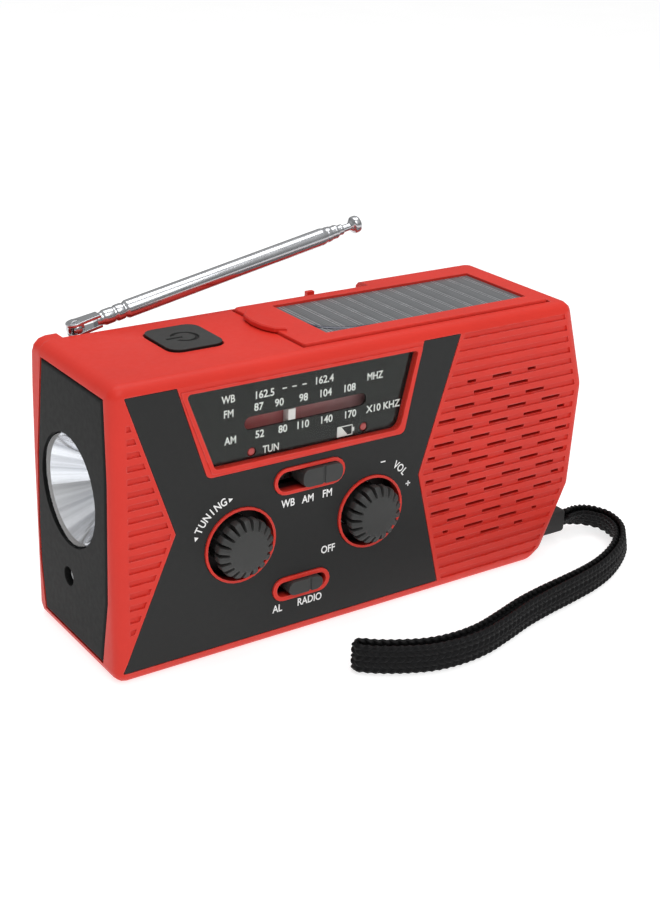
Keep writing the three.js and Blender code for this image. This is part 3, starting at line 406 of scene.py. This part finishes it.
PAINTS = {
    "shell": shell_paint(),
    "red": moulded("red_shell", RED, 0.45, wear_and_highlight=0.25, tint=0.04, speck=0.12, Specular_IOR_Level=0.25),
    "panel": moulded("black_panel", DARK, 0.5, depth=0.005, tint=0.05, wear_and_highlight=0.1, speck=0.08,
                     Specular_IOR_Level=0.3),
    # Painted shade: the end panel's colour is the black panel's darkened, for the shaded left end of the
    # case.
    "end": moulded("end_panel", tinted(DARK, 0.6), 0.55, depth=0.005, tint=0.05, wear_and_highlight=0.06, speck=0.08,
                   Specular_IOR_Level=0.12),
    "grey": moulded("grey_plastic", GREY, 0.52, grain=0.5, depth=0.02, wear_and_highlight=0.2, speck=0.1,
                    Specular_IOR_Level=0.4),
    "button": button_paint(),
    "rubber": moulded("rubber", (0.02, 0.02, 0.02), 0.68, grain=0.4, depth=0.04),
    "mask": moulded("dial_mask", (0.004, 0.0045, 0.004), 0.12, grain=6, depth=0.001, tint=0.03, speck=0,
                    Specular_IOR_Level=0.4),
    "print": moulded("white_print", WHITE, 0.55, grain=0.2, tint=0.03, speck=0.03),
    "pointer": moulded("dial_pointer", (0.85, 0.8, 0.8), 0.4, tint=0.04),
    "lamp": moulded("lamp_red", (0.5, 0.03, 0.03), 0.2, tint=0.2, Coat_Weight=0.8),
    "cream": moulded("gear_plastic", CREAM, 0.42, tint=0.05),
    "cone": moulded("speaker_cone", (0.014, 0.014, 0.014), 0.85, grain=0.3, depth=0.08),
    "wrap": moulded("battery_wrap", (0.03, 0.13, 0.33), 0.32, depth=0.006, tint=0.08),
    "ferrite": moulded("ferrite", (0.035, 0.032, 0.03), 0.6, grain=0.3, depth=0.03),
    "diffuser": moulded("lamp_cover", (0.8, 0.8, 0.78), 0.35, tint=0.03),
    "lampboard": moulded("lamp_board", CREAM, 0.45, tint=0.06),
    "navy": moulded("film_edge", (0.006, 0.01, 0.035), 0.15, tint=0.3, Coat_Weight=1.0),
    "steel": metal("steel", (0.55, 0.56, 0.57), 0.32),
    "dark_steel": metal("dark_steel", (0.2, 0.2, 0.21), 0.42),
    "can": metal("metal_can", (0.62, 0.63, 0.64), 0.3),
    "chrome": metal("chrome", (0.56, 0.57, 0.59), 0.2, (30, 1, 1), 4, relief=0.0002, uneven=0.03),
    "silver": reflector_paint(),
    "led": moulded("torch_lamp", (0.34, 0.34, 0.36), 0.25, tint=0.1, Coat_Weight=0.5),
    "lens_body": moulded("lamp_clear", (0.6, 0.61, 0.62), 0.12, depth=0.004, Coat_Weight=1.0),
    "busbar": metal("busbar", (0.7, 0.7, 0.72), 0.4),
    "glass": clear("dial_window", (0.95, 0.96, 0.95), 0.03, 1.5, gloss=0.2, share=0.5),
    "lens": clear("torch_lens", (0.97, 0.98, 0.99), 0.02, 1.5, gloss=0.95, share=1),
    "cell": cell_paint(),
    "board": board_paint(),
    "backing": backing_paint(),
    "webbing": knitted("webbing", (0.004, 0.004, 0.0044)),
}


# ---- Building meshes -------------------------------------------------------------------------------


def add(name, mesh, paint, body, replaces=(), sharp=None):
    """A piece that rides on a body. Sharp is the angle, in degrees, above which an edge stays hard."""
    if sharp is not None:
        mesh.shade_smooth()
        mesh.set_sharp_from_angle(angle=math.radians(sharp))
    mesh.materials.append(PAINTS[paint].material)
    made = bpy.data.objects.new(name, mesh)
    bpy.context.scene.collection.objects.link(made)
    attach(made, body)
    if replaces:
        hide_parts(*replaces)
    return made


def lofted(name, rings):
    """A mesh through rings of equally many points, with its ends filled."""
    count = len(rings[0])
    last = len(rings) - 1
    points = [p for ring in rings for p in ring]
    faces = []
    for a in range(last):
        for i in range(count):
            j = (i + 1) % count
            faces.append((a * count + i, a * count + j, (a + 1) * count + j, (a + 1) * count + i))
    faces.append(tuple(reversed(range(count))))
    faces.append(tuple(last * count + i for i in range(count)))
    mesh = bpy.data.meshes.new(name)
    mesh.from_pydata([tuple(p) for p in points], [], faces)
    shape = bmesh.new()
    shape.from_mesh(mesh)
    bmesh.ops.recalc_face_normals(shape, faces=shape.faces)
    shape.to_mesh(mesh)
    shape.free()
    return mesh


def mesh_of(name, shape):
    """The finished mesh of a shape that was built face by face."""
    mesh = bpy.data.meshes.new(name)
    shape.to_mesh(mesh)
    shape.free()
    return mesh


def softened(outline, radius, steps=3):
    """An open outline with its inner corners rounded."""
    points = [Vector(p) for p in outline]
    out = [points[0]]
    for before, here, after in zip(points, points[1:], points[2:]):
        back, on = before - here, after - here
        reach = min(radius, back.length * 0.45, on.length * 0.45)
        start, end = here + back.normalized() * reach, here + on.normalized() * reach
        for k in range(steps + 1):
            t = k / steps
            out.append(start * (1 - t) ** 2 + here * (2 * t * (1 - t)) + end * t**2)
    return out + [points[-1]]


def lathed(name, profile, frame_of, sides):
    """Turns a profile of (radius, height), in millimetres, about the +Z axis of frame_of."""
    rings = []
    for radius, height in profile:
        ring = []
        for i in range(sides):
            a = 2 * math.pi * i / sides
            local = Vector((max(radius, 0.01) * math.cos(a), max(radius, 0.01) * math.sin(a), height)) * MM
            ring.append(frame_of @ local)
        rings.append(ring)
    return lofted(name, rings)


def prism(shape, front, back):
    """Adds the faces between two like outlines of points, and returns them."""
    faces = [shape.faces.new(front), shape.faces.new(list(reversed(back)))]
    for i in range(len(front)):
        j = (i + 1) % len(front)
        faces.append(shape.faces.new((front[i], back[i], back[j], front[j])))
    return faces


def facing(direction, place):
    """The frame at place, in metres, whose +Z axis points in direction."""
    turn = Vector(direction).to_track_quat("Z", "Y").to_matrix().to_4x4()
    return Matrix.Translation(place) @ turn


# Points this close, in millimetres, are one point, and faces this flat, in degrees, are one face.
MERGE = 0.02
FLAT_ANGLE = 1.2


def softened_edges(piece, width, segments, angle=30):
    """Rounds the edges of a piece that are sharper than angle, in degrees."""
    edge = piece.modifiers.new("edges", "BEVEL")
    edge.width = width * MM
    edge.segments = segments
    edge.limit_method = "ANGLE"
    edge.angle_limit = math.radians(angle)
    piece.modifiers.new("normals", "WEIGHTED_NORMAL")


def refined(node, paint, bevel, slot, angle=28):
    """A copy of a CAD node with softened edges, which stands for it."""
    source = frame["nodes"][node]
    shape = bmesh.new()
    points = [shape.verts.new(v.co) for v in source.data.vertices]
    for polygon in source.data.polygons:
        shape.faces.new([points[i] for i in polygon.vertices])
    bmesh.ops.remove_doubles(shape, verts=shape.verts, dist=MERGE * MM)
    bmesh.ops.dissolve_degenerate(shape, dist=MERGE * MM, edges=shape.edges)
    flat = math.radians(FLAT_ANGLE)
    bmesh.ops.dissolve_limit(shape, angle_limit=flat, verts=shape.verts, edges=shape.edges)
    mesh = mesh_of(node + "_finish", shape)
    mesh.shade_smooth()
    made = add(node + "_finish", mesh, paint, source["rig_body"], [node])
    softened_edges(made, bevel, 2, angle)


def repaint(node, paint):
    """A better material on a CAD node that stays."""
    mesh = frame["nodes"][node].data
    mesh.materials.clear()
    mesh.materials.append(PAINTS[paint].material)


# ---- Case, panels and what is on them --------------------------------------------------------------

# Node, paint, edge radius in millimetres, material slot and, where it isn't 28, the least edge angle.
REFINED = [
    ("front_shell", "shell", 0.28, "red_plastic", 38),
    ("rear_cover", "red", 0.3, "red_plastic", 38),
    ("front_panel", "panel", 0.22, "black_panel"),
    ("end_panel", "end", 0.3, "black_panel"),
    ("dial_window", "glass", 0.15, "window"),
    ("dial_scale", "mask", 0.1, "scale"),
    ("dial_pointer", "pointer", 0.15, "pointer"),
    ("tune_lamp", "lamp", 0.4, "lamp_red"),
    ("charge_lamp", "lamp", 0.4, "lamp_red"),
    ("band_slider", "grey", 0.4, "grey_plastic"),
    ("mode_slider", "grey", 0.4, "grey_plastic"),
    ("power_button", "button", 0.15, "grey_plastic"),
    ("solar_lid", "red", 0.22, "red_plastic"),
    ("screw_1", "steel", 0.15, "screw_steel"),
    ("screw_2", "steel", 0.15, "screw_steel"),
    ("screw_3", "steel", 0.15, "screw_steel"),
    ("screw_4", "steel", 0.15, "screw_steel"),
    ("antenna_post", "chrome", 0.15, "chrome"),
    ("crank_arm", "panel", 0.5, "black_panel"),
    ("crank_screw", "steel", 0.15, "screw_steel"),
    ("crank_yoke", "panel", 0.3, "black_panel"),
    ("battery_door", "red", 0.2, "red_plastic"),
    ("port_cover", "rubber", 0.3, "rubber"),
    ("strap_anchor", "rubber", 0.4, "rubber"),
]

# The nodes that stay, and their paint.
REPAINTED = {
    "dial_backing": "backing",
    "main_board": "board",
    "switch_board": "board",
    "tuning_capacitor": "cream",
    "volume_control": "can",
    "band_switch": "can",
    "mode_switch": "can",
    "speaker_frame": "dark_steel",
    "speaker_cone": "cone",
    "speaker_magnet": "dark_steel",
    "torch_board": "lampboard",
    "power_switch": "rubber",
    "lamp_cover": "diffuser",
    "lamp_board": "lampboard",
    "crank_gear": "cream",
    "idler_gear": "cream",
    "dynamo_pinion": "cream",
    "gear_plate": "can",
    "dynamo": "can",
    "battery": "wrap",
    "port_block": "can",
    "ferrite_rod": "ferrite",
}


# ---- Knobs -----------------------------------------------------------------------------------------

LUGS = 18
LUG_STEPS = 20
KNOB_SIDES = LUGS * LUG_STEPS
# The share of a lug's half width that its slit takes, and how far the lug's corners fall, in millimetres.
SLIT_SHARE = 0.4
LUG_FALL = 0.22
SLIT_TILT = 0.25
# Radius, distance behind the face and depth of the slits, in millimetres.
KNOB_RINGS = [
    (0.2, 0.03, 0), (3, 0.03, 0), (5.5, 0, 0), (5.85, 0.06, 0.1), (6.15, 0.25, 0.45), (6.8, 0.65, 1.05),
    (7.45, 1.05, 1.5), (7.95, 1.4, 1.8), (8.16, 1.8, 1.9), (8.16, 3.6, 1.9), (7.9, 4.1, 1.6),
    (6.7, 4.35, 0.2), (6.35, 4.6, 0), (6.35, 10.9, 0), (2.1, 10.95, 0),
]


def knob(node):
    """A round knob with lugs around its rim, parted by slits."""
    low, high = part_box(node)
    middle = (low + high) / 2
    rings = []
    for radius, depth, slit in KNOB_RINGS:
        ring = []
        for i in range(KNOB_SIDES):
            a = 2 * math.pi * i / KNOB_SIDES
            phase = abs((i / LUG_STEPS + 0.5) % 1 - 0.5) * 2
            valley = max(0, 1 - phase / SLIT_SHARE) ** 0.7
            fall = 1 - phase**2 if slit else 0
            r = radius - slit * valley - LUG_FALL * fall
            y = low.y + (depth + SLIT_TILT * slit * fall * valley) * MM
            ring.append(Vector((middle.x + r * MM * math.cos(a), y, middle.z + r * MM * math.sin(a))))
        rings.append(ring)
    body = frame["nodes"][node]["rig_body"]
    add(node + "_finish", lofted(node, rings), "grey", body, [node], sharp=50)


# ---- Printed letters -------------------------------------------------------------------------------


PRINT_SIZE = 3.0
DIAL_SIZE = 2.8
PRINT_RELIEF = 0.02
LETTER_SQUEEZE = 0.84
NUMBER_SQUEEZE = 0.96


def glyphs(text, size, squeeze):
    """Flat letters as a mesh about the origin, in X and Y, in metres."""
    data = bpy.data.curves.new("letters", "FONT")
    data.body = text
    data.size = size * MM
    data.align_x = "CENTER"
    data.align_y = "CENTER"
    data.extrude = PRINT_RELIEF * MM
    data.offset = 0.05 * MM
    data.resolution_u = 4
    made = bpy.data.objects.new("letters", data)
    bpy.context.scene.collection.objects.link(made)
    bpy.context.view_layer.update()
    graph = bpy.context.evaluated_depsgraph_get()
    mesh = bpy.data.meshes.new_from_object(made.evaluated_get(graph))
    mesh.transform(Matrix.Diagonal((squeeze, 1, 1, 1)))
    bpy.data.objects.remove(made)
    return mesh


def printed(name, labels, shapes, y, shift, body):
    """White print that faces -Y. Labels are (text, x, z, size, degrees); shapes are outlines in X and Z."""
    shape = bmesh.new()
    for text, x, z, size, turn in labels:
        mesh = glyphs(text, size, NUMBER_SQUEEZE if any(c.isdigit() for c in text) else LETTER_SQUEEZE)
        upright = Matrix.Rotation(math.radians(90), 4, "X") @ Matrix.Rotation(math.radians(turn), 4, "Z")
        place = Matrix.Translation(((x + shift[0]) * MM, y * MM, (z + shift[1]) * MM))
        mesh.transform(place @ upright)
        shape.from_mesh(mesh)
        bpy.data.meshes.remove(mesh)
    for outline in shapes:
        front, back = (
            [shape.verts.new(((x + shift[0]) * MM, (y + dy) * MM, (z + shift[1]) * MM)) for x, z in outline]
            for dy in (-PRINT_RELIEF, PRINT_RELIEF)
        )
        bmesh.ops.recalc_face_normals(shape, faces=prism(shape, front, back))
    add(name, mesh_of(name, shape), "print", body)


def around(centre, radius, degrees):
    """The point at a radius and an angle from a centre."""
    a = math.radians(degrees)
    return centre[0] + radius * math.cos(a), centre[1] + radius * math.sin(a)


def rect(x, z, width, height):
    w, h = width / 2, height / 2
    return [(x - w, z - h), (x + w, z - h), (x + w, z + h), (x - w, z + h)]


def triangle(x, z, size, degrees):
    """A small arrowhead that points at an angle."""
    return [around((x, z), size, degrees + turn) for turn in (0, 125, 235)]


# The panel's face along Y, in millimetres.
PANEL_Y = -22.34


def arched(word, centre, radius, first, step):
    """Labels for the letters of a word around a knob, from the angle first, in degrees."""
    labels = []
    for i, letter in enumerate(word):
        angle = first - step * i
        labels.append((letter, *around(centre, radius, angle), PRINT_SIZE, angle - 90))
    return labels


def panel_print():
    words = [
        ("WB", -25.6, 38.9), ("AM", -19.5, 38.8), ("FM", -13.5, 39.0),
        ("OFF", -12.7, 22.7), ("AL", -28.2, 9.1), ("RADIO", -18.1, 9.2),
    ]
    labels = [(*word, PRINT_SIZE, 0) for word in words]
    labels += arched("TUNING", TUNING, 13.75, 150.5, 7.9)
    labels += arched("VOL", VOLUME, 14.1, 55.3, 7.4)
    minus = rect(*around(VOLUME, 14, 75), 1.5, 0.35)
    x, z = around(VOLUME, 13.5, 23.5)
    shapes = [
        minus, rect(x, z, 1.5, 0.35), rect(x, z, 0.35, 1.5),
        triangle(*around(TUNING, 13.75, 159.5), 0.75, 250),
        triangle(*around(TUNING, 13.6, 103), 0.75, 12),
    ]
    printed("panel_print", labels, shapes, PANEL_Y, (0, 0), "case")


# The tuning lamp's place in the plane of the front panel, where the dial's labels are placed.
LAMP_AMONG_LABELS = (-36.8, 55.3)


def dial_print():
    low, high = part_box("tune_lamp")
    middle = (low + high) / (2 * MM)
    shift = (middle.x - LAMP_AMONG_LABELS[0], middle.z - LAMP_AMONG_LABELS[1])
    words = [
        ("WB", -43.7, 70.5), ("FM", -43.6, 66.7), ("AM", -43.0, 59.6), ("162.5", -33.4, 70.1),
        ("162.4", -15.7, 70.7), ("MHZ", 0.2, 68.9), ("X10 KHZ", 3.3, 59.9), ("TUN", -31.2, 55.2),
    ]
    upper = [("87", -35), ("90", -29), ("98", -21.8), ("104", -15.2), ("108", -7.8)]
    lower = [("52", -34.6), ("80", -27.8), ("110", -21.9), ("140", -14.7), ("170", -7.3)]
    words += [(text, x, 67) for text, x in upper]
    words += [(text, x, 59.7) for text, x in lower]
    labels = [(*word, DIAL_SIZE, 0) for word in words]
    shapes = [rect(x, 70.6, 1.3, 0.3) for x in (-27.5, -24.6, -21.6)]
    x, z = -8.7, 55.4
    shapes += [
        rect(x, z + 1.3, 4.6, 0.25), rect(x, z - 1.3, 4.6, 0.25), rect(x - 2.3, z, 0.25, 2.8),
        rect(x + 2.3, z, 0.25, 2.8), rect(x + 2.7, z, 0.5, 1.1),
        [(x - 2.2, z - 1.2), (x + 0.9, z - 1.2), (x - 1.1, z + 1.2), (x - 2.2, z + 1.2)],
    ]
    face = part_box("dial_scale")[0].y / MM
    printed("dial_print", labels, shapes, face - 0.04, shift, "case")


# ---- Torch and end lamp ----------------------------------------------------------------------------


# The reflector's depth, and the radii of its rim and of the hole for the lamp, in millimetres.
BOWL_DEPTH = 11.6
BOWL_RIM = 14.25
BOWL_HOLE = 4.4
BOWL_STEPS = 16


def outwards(node):
    """The frame at the back of a node on the left end, whose +Z axis points out of the case."""
    low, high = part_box(node)
    middle = (low + high) / 2
    return facing((-1, 0, 0), (high.x, middle.y, middle.z))


def torch():
    out = outwards("torch_reflector")
    bowl = []
    for k in range(BOWL_STEPS + 1):
        r = BOWL_HOLE + (BOWL_RIM - BOWL_HOLE) * k / BOWL_STEPS
        bowl.append((r, BOWL_DEPTH * (r**2 - BOWL_HOLE**2) / (BOWL_RIM**2 - BOWL_HOLE**2) + 0.2))
    outer = [(14.65, 11.9), (14.65, 12.1), (13.9, 12.1), (9.6, 5.6), (BOWL_HOLE + 0.2, 0.05)]
    rings = lathed("torch_reflector", bowl + outer, out, 72)
    add("torch_reflector_finish", rings, "silver", "case", ["torch_reflector"], sharp=40)
    dome = [(4.1, 0.4), (4.15, 1.2), (3.9, 2.2), (2.9, 3.2), (1.5, 3.8), (0.3, 4)]
    add("torch_led", lathed("torch_led", dome, out, 40), "led", "case", sharp=60)
    pane = softened([(0.2, 0), (14.55, 0), (14.55, 0.95), (0.2, 0.98)], 0.25)
    disc = lathed("torch_lens", pane, outwards("torch_lens"), 64)
    add("torch_lens_finish", disc, "lens", "case", ["torch_lens"], 40)


def end_lamp():
    """A clear lamp with a step around its low dome."""
    low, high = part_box("end_lamp")
    out = outwards("end_lamp")
    r = (high.z - low.z) / 2 / MM
    dome = [(0.2, 0), (r, 0), (r, 2.2), (r - 1, 2.3), (r - 1.05, 2.9), (r - 1.2, 3.5), (1.1, 4), (0.2, 4.1)]
    shape = lathed("end_lamp", softened(dome, 0.3), out, 36)
    add("end_lamp_finish", shape, "lens_body", "case", ["end_lamp"], sharp=50)


# ---- Solar cell ------------------------------------------------------------------------------------


# The bars' spacing in a pair, width, height above the cell and margins at its ends, in millimetres.
BARS_APART = 0.95
BAR_WIDE = 0.22
BAR_THICK = 0.05
BAR_PROUD = 0.005
FIRST_BAR = 2.3
LAST_BAR = 1.5
BAR_MARGIN = 0.3


def solar_cell():
    """The cell with pairs of fine bars across it, and the film's edge."""
    refined("solar_cell", "cell", 0.12, "solar")
    low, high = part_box("solar_cell")
    shape = bmesh.new()
    size = Matrix.Diagonal((BAR_WIDE * MM, high.y - low.y - 2 * BAR_MARGIN * MM, BAR_THICK * MM, 1))
    x = low.x / MM + FIRST_BAR
    while x < high.x / MM - LAST_BAR:
        for side in (-BARS_APART / 2, BARS_APART / 2):
            made = bmesh.ops.create_cube(shape, size=1)["verts"]
            place = Matrix.Translation(((x + side) * MM, (low.y + high.y) / 2, high.z + BAR_PROUD * MM))
            bmesh.ops.transform(shape, matrix=place @ size, verts=made)
        x += BAR_PITCH
    add("solar_bars", mesh_of("solar_bars", shape), "busbar", "solar_lid")
    film_edge(low, high)


# The lip's half width and half height, and its path from the cell's front left corner, in millimetres.
LIP_WIDE = 0.75
LIP_HIGH = 0.34
LIP_SIDES = 10
LIP_PATH = [(0.4, 10.5), (1.6, 6.5), (4.2, 3.6), (8, 1.8), (12.5, 1), (17, 0.7)]


def heading(points, i):
    """The direction of a line of points at one of them."""
    return (points[min(i + 1, len(points) - 1)] - points[max(i - 1, 0)]).normalized()


def film_edge(low, high):
    """The film over the cell ends in a dark curved lip at its front left corner."""
    corner = Vector((low.x / MM, low.y / MM, high.z / MM + 0.08))
    centres = smoothed([corner + Vector((x, y, 0)) for x, y in LIP_PATH], 6)
    rings = []
    for i, centre in enumerate(centres):
        side = heading(centres, i).cross(UP)
        swell = math.sin(math.pi * (i + 0.5) / len(centres)) ** 0.5
        ring = []
        for k in range(LIP_SIDES):
            a = 2 * math.pi * k / LIP_SIDES
            offset = side * (LIP_WIDE * swell * math.cos(a)) + UP * (LIP_HIGH * swell * math.sin(a))
            ring.append((centre + offset) * MM)
        rings.append(ring)
    add("film_edge", lofted("film_edge", rings), "navy", "solar_lid", sharp=60)


def smoothed(points, steps):
    """A Catmull-Rom curve through the points."""
    ends = [2 * points[0] - points[1], *points, 2 * points[-1] - points[-2]]
    out = []
    for a, b, c, d in zip(ends, ends[1:], ends[2:], ends[3:]):
        for k in range(steps):
            t = k / steps
            out.append(0.5 * (
                2 * b + (c - a) * t + (2 * a - 5 * b + 4 * c - d) * t**2 + (3 * b - a - 3 * c + d) * t**3
            ))
    return out + [points[-1]]


# ---- Antenna ---------------------------------------------------------------------------------------

# The tilt joint's place, and the antenna's tilt at rest.
PIVOT = Vector((-63.1, 20.5, 79.4))
TILT = math.radians(11.1)
# The fork: the ears' half width, reach along the antenna, and inner and outer faces, in millimetres.
EAR_HIGH = 2.3
EAR_NECK = 1.6
EAR_REACH = 6.9
EAR_FACES = (0.92, 1.78)


def antenna():
    """The barrel, the fork and three telescopic sections, lathed about one line."""
    along = facing((math.cos(TILT), 0, math.sin(TILT)), PIVOT * MM)
    barrel = softened([
        (0.3, 5.6), (1.7, 5.6), (1.8, 6.4), (1.7, 7.4), (2.1, 8.2), (2.1, 10.6), (1.8, 11.1),
        (2.2, 11.6), (2.2, 13.4), (1.95, 13.9), (2.45, 14.8), (2.45, 76), (2.15, 77.2), (2.25, 77.8),
        (2.12, 78.9), (2.06, 78.9), (2.06, 70), (0.3, 69.9),
    ], 0.25, 2)
    made = lathed("antenna_tube", barrel, along, 40)
    add("antenna_tube", made, "chrome", "antenna_barrel", ["antenna_barrel"], sharp=35)
    fork(along)
    sections = [
        ("antenna_section_2", 1.95, 10, [(1.95, 80.2), (2, 80.5), (1.9, 81), (1.7, 81.2), (1.6, 81.2)]),
        ("antenna_section_3", 1.5, 12, [(1.5, 82.1), (1.55, 82.4), (1.5, 82.9), (1.25, 83), (1.15, 83)]),
        ("antenna_section_4", 1.05, 14, [
            (1.05, 85.4), (1.4, 85.7), (1.6, 86), (2.3, 86.5), (2.45, 86.9), (2.45, 87.9), (2.2, 88.4),
            (1.4, 88.8), (0.3, 88.95),
        ]),
    ]
    for name, radius, start, end in sections:
        inner = [] if name.endswith("4") else [(radius - 0.3, end[-1][1] - 6), (0.2, end[-1][1] - 6)]
        profile = softened([(0.2, start), (radius, start), *end, *inner], 0.15, 2)
        shape = lathed(name, profile, along, 32)
        add(name + "_finish", shape, "chrome", name, [name], sharp=35)


def fork(along):
    """Two rounded ears with a domed rivet, at the antenna's foot."""
    outline = [around((0, 0), EAR_HIGH, degrees) for degrees in range(60, 301, 20)]
    outline += [(EAR_REACH, -EAR_NECK), (EAR_REACH, EAR_NECK)]
    shape = bmesh.new()
    for side in (-1, 1):
        front, back = (
            [shape.verts.new(along @ (Vector((h, y, x)) * MM)) for x, h in outline]
            for y in sorted(side * face for face in EAR_FACES)
        )
        prism(shape, front, back)
    bmesh.ops.recalc_face_normals(shape, faces=shape.faces)
    mesh = mesh_of("antenna_fork", shape)
    mesh.shade_smooth()
    made = add("antenna_fork", mesh, "chrome", "antenna_barrel")
    softened_edges(made, 0.18, 3)
    half = [(0.85, 1.75), (1.3, 1.85), (0.9, 2.3), (0.1, 2.45)]
    profile = [(radius, -height) for radius, height in reversed(half)] + half
    rivet = lathed("antenna_rivet", softened(profile, 0.12, 2), facing((0, 1, 0), PIVOT * MM), 28)
    add("antenna_rivet", rivet, "chrome", "antenna_barrel", sharp=40)


# ---- Crank handle ----------------------------------------------------------------------------------


# The grip's grooves: how many, the first one's place and their spacing, in millimetres.
GROOVES = 7
FIRST_GROOVE = 3.6
GROOVE_PITCH = 1.7


def grip():
    """The crank's spinning grip, with grooves around its middle."""
    low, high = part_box("crank_grip")
    middle = (low + high) / 2
    along = facing((1, 0, 0), (low.x, middle.y, middle.z))
    profile = [(0.2, 0), (3.9, 0), (4.6, 1.2), (4.35, 2.6)]
    for k in range(GROOVES):
        start = FIRST_GROOVE + GROOVE_PITCH * k
        profile += [(4.25, start), (3.85, start + 0.45), (4.25, start + 0.9)]
    profile += [(4.7, 16.9), (4.55, 18.6), (3.9, 19.5), (0.2, 19.75)]
    shape = lathed("crank_grip", softened(profile, 0.3, 2), along, 48)
    add("crank_grip_finish", shape, "grey", "crank_grip", ["crank_grip"], sharp=50)


# ---- Wrist strap -----------------------------------------------------------------------------------

# The middle of the doubled strap, from the anchor to the fold, as in the CAD.
STRAP_MIDDLE = [
    (78.9, -13.5, 6.4), (84.5, -12.6, 5.6), (89.6, -14.2, 5), (92.4, -19, 4.7), (91.4, -25.8, 4.6),
    (87, -32, 4.6), (80, -37.6, 4.6), (71.4, -42.2, 4.6), (62.5, -45.2, 4.6), (52.5, -47.2, 4.6),
    (42.3, -48.9, 4.6), (32.4, -51, 4.6), (22.5, -54, 4.6), (13.5, -56.4, 4.6), (5, -57, 4.6),
    (-3, -55.8, 4.6), (-10, -52.8, 4.6), (-15.6, -49.4, 4.6), (-18.6, -46.8, 4.6),
]
# How far apart the two layers lie, and the strap's width and thickness, in millimetres.
APART_AT_ANCHOR = 2.0
APART_AT_FOLD = 3.3
STRAP_WIDE = 8.0
STRAP_THICK = 1.5
# The plait: rows across, a stitch's length, how far its edge swings and how far it stands up.
STITCH_ROWS = 5
STITCH = 2.1
SCALLOP = 0.3
PLAIT_FLOOR = 0.5
PLAIT_HIGH = 0.7
STRAP_CROSS = 30
RING_STEP = 0.3
TURN_STEPS = 8
# The strap leans over at the anchor by so many degrees, and stands upright from this share of its length.
ANCHOR_LEAN = 52
UPRIGHT_FROM = 0.3
SPREAD_OVER = 0.4


def evenly(points, step):
    """Points a step apart along a line of points, with its length."""
    lengths = [0]
    for a, b in zip(points, points[1:]):
        lengths.append(lengths[-1] + (b - a).length)
    count = max(2, round(lengths[-1] / step))
    out, k = [], 0
    for i in range(count + 1):
        want = lengths[-1] * i / count
        while k < len(lengths) - 2 and lengths[k + 1] < want:
            k += 1
        share = (want - lengths[k]) / max(1e-9, lengths[k + 1] - lengths[k])
        out.append(points[k].lerp(points[k + 1], min(1, share)))
    return out, lengths[-1]


def leaning(share):
    """How far the strap leans from its edge, in radians: flatter at the anchor, upright after the turn."""
    return math.radians(ANCHOR_LEAN) * max(0, 1 - share / UPRIGHT_FROM) ** 1.3


def strap_route():
    """The doubled strap's centre line, as pairs of a place and the direction of its upper edge."""
    middle, _ = evenly(smoothed([Vector(p) for p in STRAP_MIDDLE], 12), 1.0)
    last = len(middle) - 1
    outward, back = [], []
    for i, centre in enumerate(middle):
        ahead = heading(middle, i)
        flat = Vector((-ahead.y, ahead.x, 0)).normalized()
        lean = leaning(i / last)
        across = flat * math.cos(lean) + UP * math.sin(lean)
        up = UP * math.cos(lean) - flat * math.sin(lean)
        ease = min(1, max(0, (i / last - UPRIGHT_FROM) / SPREAD_OVER))
        spread = APART_AT_ANCHOR + (APART_AT_FOLD - APART_AT_ANCHOR) * ease**2 * (3 - 2 * ease)
        outward.append((centre + across * spread / 2, up))
        back.append((centre - across * spread / 2, up))
    ahead = (middle[-1] - middle[-2]).normalized()
    side = outward[-1][0] - middle[-1]
    turn = []
    for k in range(1, TURN_STEPS):
        a = math.pi * k / TURN_STEPS
        turn.append((middle[-1] + side * math.cos(a) + ahead * side.length * math.sin(a), UP))
    return outward + turn + back[::-1]


def stitch_height(along, across, face):
    """The height of the plait, from 0 to 1, at a place on one face."""
    row = (across / STRAP_WIDE + 0.5) * STITCH_ROWS
    inside = row % 1 - 0.5
    lean = 1 if int(row) % 2 == 0 else -1
    phase = (along / STITCH + lean * inside * 0.75 + face * 0.5) % 1 - 0.5
    ridge = math.cos(math.pi * phase) ** 0.9
    return ridge * (1 - (2 * abs(inside)) ** 2.2)


def plaited_ring(centre, up, out, along):
    """The strap's outline at one place along it, with the plait's relief on both faces."""
    wide = STRAP_WIDE + SCALLOP * math.cos(2 * math.pi * along / STITCH)
    ring = []
    for face in (1, -1):
        for k in range(STRAP_CROSS + 1):
            share = (k / STRAP_CROSS - 0.5) * face
            across = share * wide
            rim = math.sqrt(max(0, 1 - (2 * abs(share)) ** 6))
            height = stitch_height(along, across * 0.98, (1 - face) / 2)
            thick = (STRAP_THICK / 2 - PLAIT_FLOOR + PLAIT_HIGH * height) * (0.25 + 0.75 * rim)
            ring.append((centre + up * across + out * face * thick) * MM)
    return ring


def strap():
    """The plaited band along its whole route, out from the anchor and back."""
    route = strap_route()
    centres, length = evenly([p for p, _ in route], RING_STEP)
    edges, _ = evenly([p + 3 * up for p, up in route], RING_STEP)
    last, last_edge = len(centres) - 1, len(edges) - 1
    rings = []
    for i, centre in enumerate(centres):
        ahead = heading(centres, i)
        up = edges[min(last_edge, round(i * last_edge / last))] - centre
        up = (up - ahead * up.dot(ahead)).normalized()
        rings.append(plaited_ring(centre, up, ahead.cross(up), length * i / last))
    made = add("wrist_strap_braid", lofted("wrist_strap", rings), "webbing", "case", ["wrist_strap"],
               sharp=180)
    path = [c * MM for c in centres[::4]]
    if (centres[-1] * MM - path[-1]).length > 0:
        path.append(centres[-1] * MM)


# ---- Everything together ---------------------------------------------------------------------------

camera()
studio()
strap()
for row in REFINED:
    refined(*row)
for node, paint in REPAINTED.items():
    repaint(node, paint)
knob("tuning_knob")
knob("volume_knob")
panel_print()
dial_print()
torch()
end_lamp()
solar_cell()
antenna()
grip()
